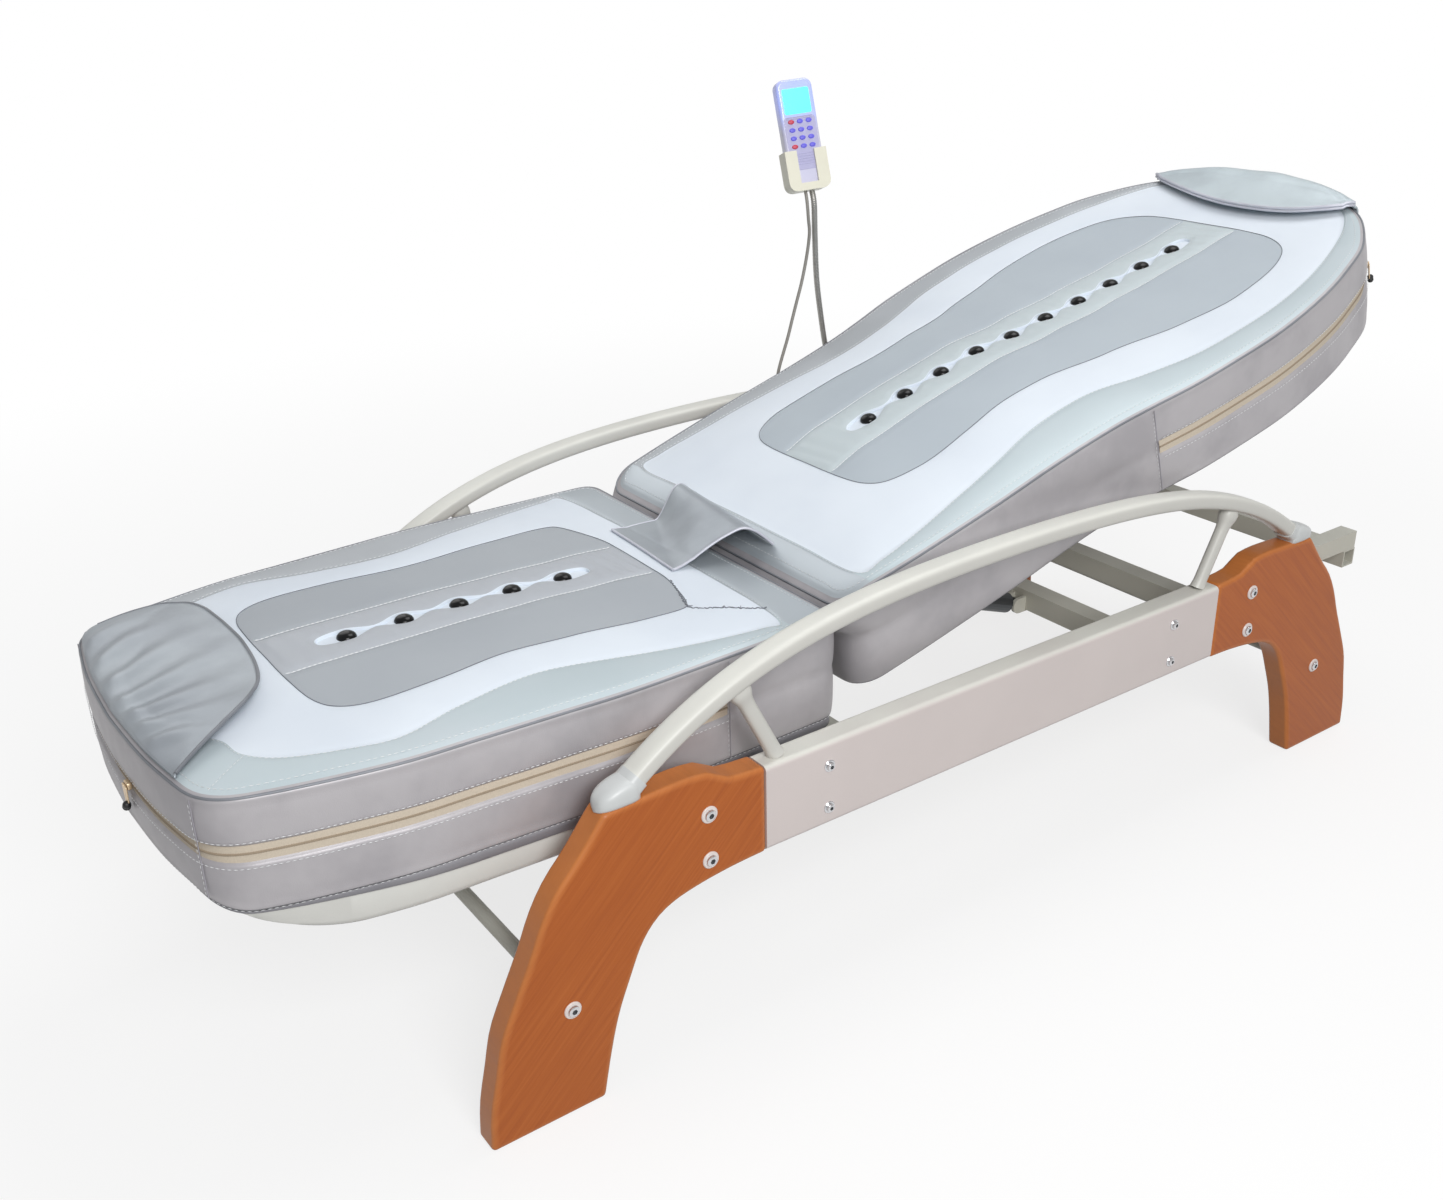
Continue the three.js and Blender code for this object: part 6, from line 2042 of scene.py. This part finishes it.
@dataclass
class HeadFlap:
    """Pillow cover of the head end: a thick crescent that is sewn under the rim, rises over it and
    stands a little off the mat."""

    mat: Mat
    free: tuple = ((1033, -203), (1014, -192), (994, -168), (974, -128), (964, -80), (962, -20),
                   (968, 40), (980, 92), (998, 142), (1018, 180), (1038, 204))
    seeds: tuple = ((0.22, 0.09, 2.2), (0.46, 0.08, 2.6), (0.7, 0.09, 2.8))
    tuck: tuple = ((3.4, -9.0), (4.2, -3.0), (2.0, 2.6))
    fold: Pair = (1048.0, 988.0)

    def build(self) -> None:
        """Make the flap with its double piping. Over the mat its rise is a bump along u that is
        highest near the rim, and three rows below the seam tuck it over the edge."""
        v = np.linspace(0, 1, 61)
        free = resampled(curve_through(self.free, 120), 60)
        outline = self.mat.outline
        tip = outline[outline[:, 0] > 980]
        order = np.argsort(tip[:, 1])
        y = self.free[0][1] + (self.free[-1][1] - self.free[0][1]) * v
        rim = np.interp(y, tip[order][:, 1], tip[order][:, 0])
        seam = joined(rim - 3, y)
        free = (free + (seam[:1] - free[:1]) * (1 - v[:, None]) ** 8
                + (seam[-1:] - free[-1:]) * v[:, None] ** 8)
        flat = sheet_between(seam, free, 24)
        u, vv = shares_of(flat)
        middle = np.sin(math.pi * np.clip(vv, 0.005, 0.995)) ** 0.7
        swell = np.sin(TURN / 4 * np.clip(u / 0.22, 0, 1))
        crest = np.exp(-(((u - 0.3) / 0.3) ** 2))
        rise = 4.0 + folds(vv, u, self.seeds) * middle + swell * (10.0 + 6.0 * middle + 5.0 * crest * middle)
        over = with_height(flat, self.mat.height(flat) + rise)
        tuck = [joined(rim + out, y, self.mat.top + down) for out, down in self.tuck]
        grid = self.mat.lift(np.concatenate([np.stack(tuck, 1), over], 1))
        flap = make_sheet("head_pillow_flap", grid, Look.PILLOW, "head_flap", 2.6)
        lower = grid[:, -1] - np.array([0, 0, 4.6])
        pipes = [
            edge_tube("head_pillow_flap_piping", grid[:, -1], 2.6, Look.LIGHT_PIPING),
            edge_tube("head_pillow_flap_under_piping", lower, 2.4, Look.LIGHT_PIPING)]
        bend(self.mat, "upper_bed", "head_flap", self.fold, flap, *pipes)
        area = flat_area(grid)


@dataclass
class WaistFlap:
    """Satin flap over the hinge: sewn to the head mat, arched over the gap and laid on the foot
    mat with its two corners."""

    foot: Mat
    head: Mat
    edge: float = -249.0
    foot_far: Pair = (-337, 104)
    foot_near: Pair = (-347, -72)
    head_near: Pair = (-150, -108)
    head_far: Pair = (-136, 122)
    arch: float = 37.0

    def build(self) -> None:
        """Make the flap. Its height runs from the foot mat to the head mat, and over that an arch
        r f, where r eases up from a line that slants from the near foot corner to the middle of the
        far edge and f is the sine that brings it down to the head mat, with a crease to the near
        foot corner."""
        low = self.foot.on_top(np.array([self.foot_near, self.foot_far]), 3.0)
        high = self.head.on_top(np.array([self.head_near, self.head_far]), 3.0)
        uu, vv = np.meshgrid(np.linspace(0, 1, 49), np.linspace(0, 1, 45))
        start = low[0] + vv[..., None] * (low[1] - low[0])
        end = high[0] + vv[..., None] * (high[1] - high[0])
        grid = start + uu[..., None] * (end - start)
        grid[..., 1] += (0.5 - vv) * 20 * np.sin(math.pi * uu)
        begin = 0.02 + 0.46 * vv**1.2
        peak = 0.7 + 0.08 * vv
        rise = np.clip((uu - begin) / (peak - begin), 0, 1)
        fall = np.clip((1 - uu) / (1 - peak), 0, 1)
        line = 0.4 * (1 - vv)
        ease = (line * rise + (1 - line) * rise * rise * (3 - 2 * rise)) * np.sin(fall * TURN / 4)
        crease = np.exp(-(((vv - 0.62 * uu) / 0.2) ** 2)) * np.sin(math.pi * np.clip(uu * 1.1, 0, 1))
        over = (self.arch - 4 * vv) * ease + 4 * crease * np.clip(rise * 3, 0, 1)
        laid = self.foot.height(np.minimum(grid[..., :2], [self.edge - 12.0, 1000.0])) + 2.8
        grid[..., 2] = laid + (grid[..., 2] - laid) * np.clip((uu - begin) / (1 - begin), 0, 1) ** 1.4
        grid[..., 2] += over
        flap = make_sheet("waist_flap_cloth", grid, Look.FLAP, "waist_flap", 2.2)
        edges = [edge_tube(f"waist_flap_hem_{name}", path, 2.0, Look.LIGHT_PIPING)
                 for name, path in (("near", grid[0]), ("far", grid[-1]), ("foot", grid[:, 0]))]
        start_point, end_point = to_frame(low.mean(0)), to_frame(high.mean(0))
        for piece in (flap, *edges):
            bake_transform(piece)
        area = flat_area(grid)


# remote control


@dataclass
class Remote:
    """Handset in its holder on a bendable arm, with its cord."""

    place: Triple = (197.0, 345.0, 998.0)
    pitch: float = -16.9
    roll: float = -4.7
    yaw: float = -20.0
    width: float = 62.0
    thickness: float = 24.0
    top: float = 79.0
    bottom: float = -92.0
    face: float = -12.0
    cord_route: tuple = (
        (190.8, 319.2, 904.2), (190.5, 315.6, 892.8), (192, 315, 878), (196, 318, 860),
        (203, 324, 838), (206, 330, 818), (206, 335, 795), (204, 339, 772), (199, 342, 745),
        (192, 345, 717), (185, 348, 688), (177, 350, 658), (168, 352, 630), (159, 352.5, 604),
        (150, 351, 572), (142, 346, 535), (136, 340, 490), (132, 338, 440), (131, 336.9, 405),
        (131, 336.7, 382), (131, 336.7, 364.3))
    cord_radius: float = 2.8
    clamp_x: float = 298.0
    clamp_y: float = 371.0
    corner: float = 13.0
    edge: float = 5.5
    screen: Pair = (46.0, 40.0)
    screen_z: float = 44.0
    pad: Pair = (53.0, 84.0)
    pad_z: float = -22.0
    clamp: Triple = (36.0, 35.0, 44.0)
    neck_radius: float = 4.7
    key_pitch: Pair = (15.0, 13.0)
    key_size: Pair = (5.3, 3.6)
    key_top: float = 12.0
    ribs: tuple[float, ...] = (19.5, 16.5, -38.5, -42.5, -46.5, -50.5, -54.5)
    rib_length: float = 44.0
    neck_shares: tuple = ((0, 0, 0), (0.06, 0.01, 0.06), (0.24, 0.06, 0.19), (0.44, 0.2, 0.39),
                          (0.65, 0.42, 0.6), (0.84, 0.72, 0.82), (1, 1, 1))

    def matrix(self) -> Array:
        """Turn of the handset: about Z by the yaw, then X by the pitch, then Y by the roll.

        Returns:
            The matrix of three rows.
        """
        a, b, c = (math.radians(value) for value in (self.yaw, self.pitch, self.roll))
        about_z = np.array([[math.cos(a), -math.sin(a), 0], [math.sin(a), math.cos(a), 0], [0, 0, 1]])
        about_x = np.array([[1, 0, 0], [0, math.cos(b), -math.sin(b)], [0, math.sin(b), math.cos(b)]])
        about_y = np.array([[math.cos(c), 0, math.sin(c)], [0, 1, 0], [-math.sin(c), 0, math.cos(c)]])
        return about_z @ about_x @ about_y

    def placed(self, shell: Shell) -> Shell:
        """Shell drawn in the handset's own axes, moved to its place."""
        shell.points = shell.points @ self.matrix().T + np.array(self.place)
        return shell

    def point(self, x: float, y: float, z: float) -> Array:
        """One point of the handset's own axes, moved to its place."""
        return self.matrix() @ np.array([x, y, z]) + np.array(self.place)

    def cord(self) -> None:
        """Thin cord from the holder down to the gland on the far side tube."""
        path = curve_through(self.cord_route, 240)
        shell = swept(path, round_section(self.cord_radius, 10), (1, 0, 0))
        cord = make("remote_cord", shell, [Look.CORD], "frame", stands_for=["handset_cord"])
        metres = to_frame(path)
        length_of(metres)

    def arm(self, rails: Handrails) -> None:
        """Ribbed bendable arm and the clamp that grips the far handrail.

        Args:
            rails: the handrails.
        """
        middle = float(rails.centre(np.array(self.clamp_x)))
        base = np.array([self.clamp_x, self.clamp_y, middle + 14])
        under = self.bottom - 5.6
        end, before = self.point(7, 5, under), self.point(7, 5, under - 22)
        points = [base + np.array(share) * (before - base) for share in self.neck_shares] + [end]
        path = resampled(curve_through(points, 200), 520)
        ribs = 1 + 0.07 * np.sin(np.arange(521) / 4 * TURN)
        neck = swept(path, round_section(self.neck_radius, 12), (1, 0, 0), ribs).dressed(0)
        length, width, height = self.clamp
        block = rounded_rectangle(length, height, 6, 5) + [self.clamp_x, middle]
        clamp = rounded_plate(block, self.clamp_y - width / 2, self.clamp_y + width / 2, 3.5).dressed(1)
        make("remote_arm", merged([neck, clamp]), [Look.NECK, Look.BLACK], "frame",
             sharp=60, stands_for=["gooseneck"])

    def handset(self) -> None:
        """Rounded shell, screen, ribbed keypad and keys."""
        middle = (self.top + self.bottom) / 2
        outline = rounded_rectangle(self.width, self.top - self.bottom, self.corner, 8) + [0, middle]
        shell = self.placed(rounded_plate(outline, self.face, -self.face, self.edge, 6))
        centre = tuple(to_frame(self.point(0, self.face, 45)))
        glow = GlowingShell("handset_shell", centre)
        make("handset_body", shell, [glow], "handset", even=True,
             stands_for=["handset_shell"])
        screen = rounded_rectangle(*self.screen, 3, 4) + [0, self.screen_z]
        glass = self.placed(rounded_plate(screen, self.face - 0.7, self.face + 1.5, 0.8, 3))
        make("handset_screen", glass, [Look.SCREEN], "handset", even=True)
        pad = rounded_rectangle(*self.pad, 5, 5) + [0, self.pad_z]
        plate = self.placed(rounded_plate(pad, self.face - 0.5, self.face + 1, 0.6, 3))
        ribbed = merged([plate, *(self.rib(z) for z in self.ribs)])
        make("handset_keypad", ribbed, [Look.KEYPAD], "handset")
        for row in range(4):
            for column in range(3):
                self.key(column, row)

    def rib(self, z: float) -> Shell:
        """Low rounded rib across the handset's face at a height."""
        x = np.linspace(-self.rib_length / 2, self.rib_length / 2, 9)
        path = joined(x, self.face - 0.4, z)
        return self.placed(swept(path, oval_section(1.6, 1.5, 8), (0, 1, 0)))

    def key(self, column: int, row: int) -> None:
        """One oval rubber key with a domed top.

        Args:
            column, row: its place, counted from 0 at the top left.
        """
        x, z = (column - 1) * self.key_pitch[0], self.key_top - self.key_pitch[1] * row
        angle = np.linspace(0, TURN / 4, 7)
        rows = [(1.0, -2.0)] + [(max(math.cos(a) ** 0.55, 0.02), 0.8 + 1.6 * math.sin(a)) for a in angle]
        turned = lathed([(r, h, False) for r, h in rows], 24)
        u, v, w = turned.points.T
        turned.points = joined(x + self.key_size[0] * u, self.face - w, z + self.key_size[1] * v)
        name = f"key_{row + 1}_{column + 1}"
        red = column == 0 and row in (0, 3)
        make(f"rubber_{name}", self.placed(turned), [Look.RED_KEY if red else Look.VIOLET_KEY], name,
             stands_for=[name])

    def build(self, rails: Handrails) -> None:
        """Make the arm and the handset. The cord is made first, on its own."""
        self.arm(rails)
        self.handset()


# zip sliders and small trim


@dataclass
class ZipSlider:
    """Slider of a zip with two metal pulls that end in black beads."""

    mat: Mat
    node: str
    body: str
    spot: Pair
    pulls: tuple = ((0.1, 28.0, -4.5), (-0.16, 25.0, 4.5))
    bead: float = 5.0
    bead_out: float = 6.7
    seat: float = 0.5

    def build(self) -> None:
        """Make the slider on the side of its mat at the point of the outline nearest its spot."""
        mat = self.mat
        index = int(np.argmin(np.linalg.norm(mat.outline - np.array(self.spot), axis=1)))
        centre = mat.wall(0.0, mat.zip_z)[index]
        out = np.append(mat.out[index], 0)
        along = np.array([-out[1], out[0], 0])
        parts = [rounded_plate(rounded_rectangle(14, 10, 3, 3), -3.4, 2.2, 1.2, 3).dressed(0)]
        for turn, length, shift in self.pulls:
            tab = rounded_plate(rounded_rectangle(8.5, length, 3.6, 4) + [0, -length / 2], -5.6, -4.0, 0.6, 2)
            c, s = math.cos(turn), math.sin(turn)
            x, y, z = tab.points.T
            tab.points = joined(x * c - z * s + shift, y, x * s + z * c + 2)
            parts.append(tab.dressed(0))
            bead = lathed([(max(self.bead * math.sin(a), 0.1), self.bead * math.cos(a), False)
                           for a in np.linspace(0, math.pi, 10)], 14).dressed(1)
            bead.points += [shift + s * length, -self.bead_out, 2 - c * (length + 2)]
            parts.append(bead)
        shell = merged(parts)
        x, y, z = shell.points.T
        placed = centre + x[:, None] * along + (self.seat - y)[:, None] * out
        shell.points = mat.lift(placed + z[:, None] * np.array([0, 0, 1]))
        make(f"{mat.name}_zip_slider", shell, [Look.ZIP_METAL, Look.BLACK], self.body,
             sharp=50, stands_for=[self.node])


@dataclass
class Trim:
    """Tray, welt, vertical seams, the frayed torn seam and the corner stitching of the mats. The welt is a
    band of underside cloth whose dark grey is painted shade of the gap under the foot mat.
    """

    foot: Mat
    head: Mat
    torn: tuple = ((-366, -94), (-377, -128), (-390, -164), (-393, -180), (-384, -192), (-372, -200),
                   (-352, -214), (-336, -228), (-313, -239))
    tray_low: float = 305.0
    tray_rise: float = 58.0
    tray_nose: float = -905.0
    corner_seam: tuple[Pair, Pair] = ((-1038, 236), (-981, 192))
    foot_seams: Pair = (-1054, -427)
    head_seam: float = 381.0

    def vertical(self, mat: Mat, x: float, side: int) -> Shell:
        """Seam that runs down a mat's side.

        Args:
            mat: the mat.
            x: place along the bed.
            side: -1 on the near side, 1 on the far side.

        Returns:
            The shell with slots 0 for the ridge and 1 for the stitches.
        """
        keep = np.flatnonzero(np.sign(mat.outline[:, 1]) == side)
        index = keep[int(np.argmin(np.abs(mat.outline[keep, 0] - x)))]
        heights = np.linspace(mat.bottom + 6, mat.top - 5, 26)
        rings = np.stack([mat.wall(-1.9, z)[index] for z in heights])
        out = np.append(mat.out[index], 0)
        path = mat.lift(rings)
        normals = mat.lift(rings + out) - path
        return merged([swept(path, round_section(0.7, 6), unit(normals)).dressed(0),
                       stitches(path + 3 * unit(np.cross(normals, mat.up())), normals, 4.5, 2.4).dressed(1)])

    def torn_seam(self) -> Shell:
        """Frayed dark seam that wanders over the white field: a thread along the torn line with a
        small zigzag, and short loose ends beside it.

        Returns:
            The shell.
        """
        line = resampled(curve_through(self.torn, 90), 150)
        place = np.arange(len(line))
        line = line + 1.1 * joined(np.sin(place * 0.9), np.sin(place * 1.3 + 1))
        path = self.foot.on_top(line, 0.3)
        thick = 0.8 + 0.5 * np.abs(np.sin(place * 0.37)) * (place > 30)
        rows = [swept(path, round_section(0.8, 5), (0, 0, 1), thick)]
        for start, turn in ((58, 0.7), (66, -0.9), (104, 0.4), (112, -1.2), (124, 1.0)):
            ends = line[start] + np.linspace(0, 7, 6)[:, None] * [math.cos(turn), math.sin(turn)]
            rows.append(swept(self.foot.on_top(ends, 0.8), round_section(0.45, 5), (0, 0, 1)))
        return merged(rows)

    def tray(self) -> Shell:
        """Pale tray under the foot mat: its lower edge is rounded and rises at the foot end, by
        the power 1.9 of the share of its last stretch.

        Returns:
            The shell.
        """
        x = self.foot.outline[:, 0]
        low = self.tray_low + self.tray_rise * np.clip((self.tray_nose - x) / 150, 0, 1) ** 1.9
        high = self.foot.bottom - 0.6 + self.foot.nose(x)
        rings = []
        for draw, share in ((60, 1), (9.5, 1), (8, 0.96), (8, 0.2), (9, 0.09), (12, 0.02), (17, 0), (60, 0)):
            flat = self.foot.wall(float(draw), self.foot.top)
            rings.append(with_height(flat[:, :2], low + share * (high - low)))
        caps = [with_height(self.foot.origins, z) for z in (self.foot.bottom - 0.6, self.tray_low)]
        return skin(np.stack([caps[0], *rings, caps[1]]), capped=False)

    def build(self) -> None:
        """Make the tray, the welt under the foot mat with its painted shade, the vertical seams, the frayed
        torn seam and the corner stitching.
        """
        make("foot_tray", self.tray(), [Look.TRAY], "frame", weld=True, stands_for=["lower_tray"])
        make("foot_mat_torn_seam", self.torn_seam(), [Look.DARK_THREAD], "frame")
        lines = []
        for side in (-1, 1):
            spots = np.linspace(*self.corner_seam, 12) * [1, side]
            path = self.foot.on_top(spots, 0.9)
            lines.append(stitches(path, (0, 0, 1), 5.0, 1.6, 1.0))
        make("foot_mat_corner_stitching", merged(lines), [Look.THREAD], "frame")
        # welt band below the mat's bottom edge: its dark grey is painted shade of the gap over the tray, and
        # its height follows that shade line
        ring = self.foot.wall(6.5, self.foot.bottom - 1.5)
        shrink = np.clip((ring[:, 0] + 1070) / 290, 0.2, 1)
        ring[:, 2] -= 4.5 * shrink
        welt = swept(ring, oval_section(8, 15, 14), (0, 0, 1), shrink, looped=True).dressed(0)
        low = self.foot.wall(1.8, self.foot.bottom + 2.0)
        out = with_height(self.foot.out, 0.0)
        row = stitches(*(np.concatenate([part, part[:1]]) for part in (low, out)), 4.5, 2.6).dressed(1)
        make("foot_mat_welt", merged([welt, row]), [Look.SHADE_DARKENED_WELT, Look.THREAD], "frame")
        seams = [self.vertical(self.foot, x, side) for x in self.foot_seams for side in (-1, 1)]
        make("foot_mat_side_seams", merged(seams), [Look.RIDGE, Look.THREAD], "frame")
        seams = [self.vertical(self.head, self.head_seam, side) for side in (-1, 1)]
        make("head_mat_side_seams", merged(seams), [Look.RIDGE, Look.THREAD], "upper_bed")


NODE_LOOKS = {
    "lift_cylinder": Look.DARK_STEEL, "lift_rod": Look.CHROME, "control_box": Look.BLACK,
    "upper_base": Look.PLY, "guide_track": Look.STEEL, "massage_carriage": Look.BLACK,
    "roller": Look.BLACK, "drive_pinion": Look.STEEL, "handset_holder": Look.CREAM,
}


def dress_nodes() -> None:
    """Give every CAD node that stays in view its finish: the one listed for the start of its name,
    and else the paint of the inner tubes and beams."""
    for name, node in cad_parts.items():
        if node.hide_render:
            continue
        listed = (look for start, look in NODE_LOOKS.items() if name.startswith(start))
        material = next(listed, Look.INNER_PAINT).value.material()
        if not node.material_slots:
            node.data.materials.append(material)
        for slot in node.material_slots:
            slot.material = material
        LOG.info("%s keeps its CAD form", name)


def main() -> None:
    """Build the bed in order and report each piece."""
    logging.basicConfig(level=logging.INFO, format="%(message)s")
    Viewpoint().build()
    remote = Remote()
    remote.cord()
    Studio().build()
    rails = Handrails()
    Rails().build()
    WoodenLegs().build()
    rails.build()
    foot, head = foot_mat(), head_mat()
    foot.build("frame", ["lower_pad"])
    head.build("upper_bed", ["upper_pad"])
    StoneStrip(foot, "lower_stone_strip", "frame").build()
    StoneStrip(head, "upper_stone_strip", "upper_bed").build()
    FootFlap(foot).build()
    HeadFlap(head).build()
    WaistFlap(foot, head).build()
    ZipSlider(foot, "zip_slider_foot", "foot_zip", (-1078.0, -42.0)).build()
    ZipSlider(head, "zip_slider_head", "head_zip", (981.0, -240.0)).build()
    Trim(foot, head).build()
    remote.build(rails)
    dress_nodes()


if __name__ == "__main__":
    main()
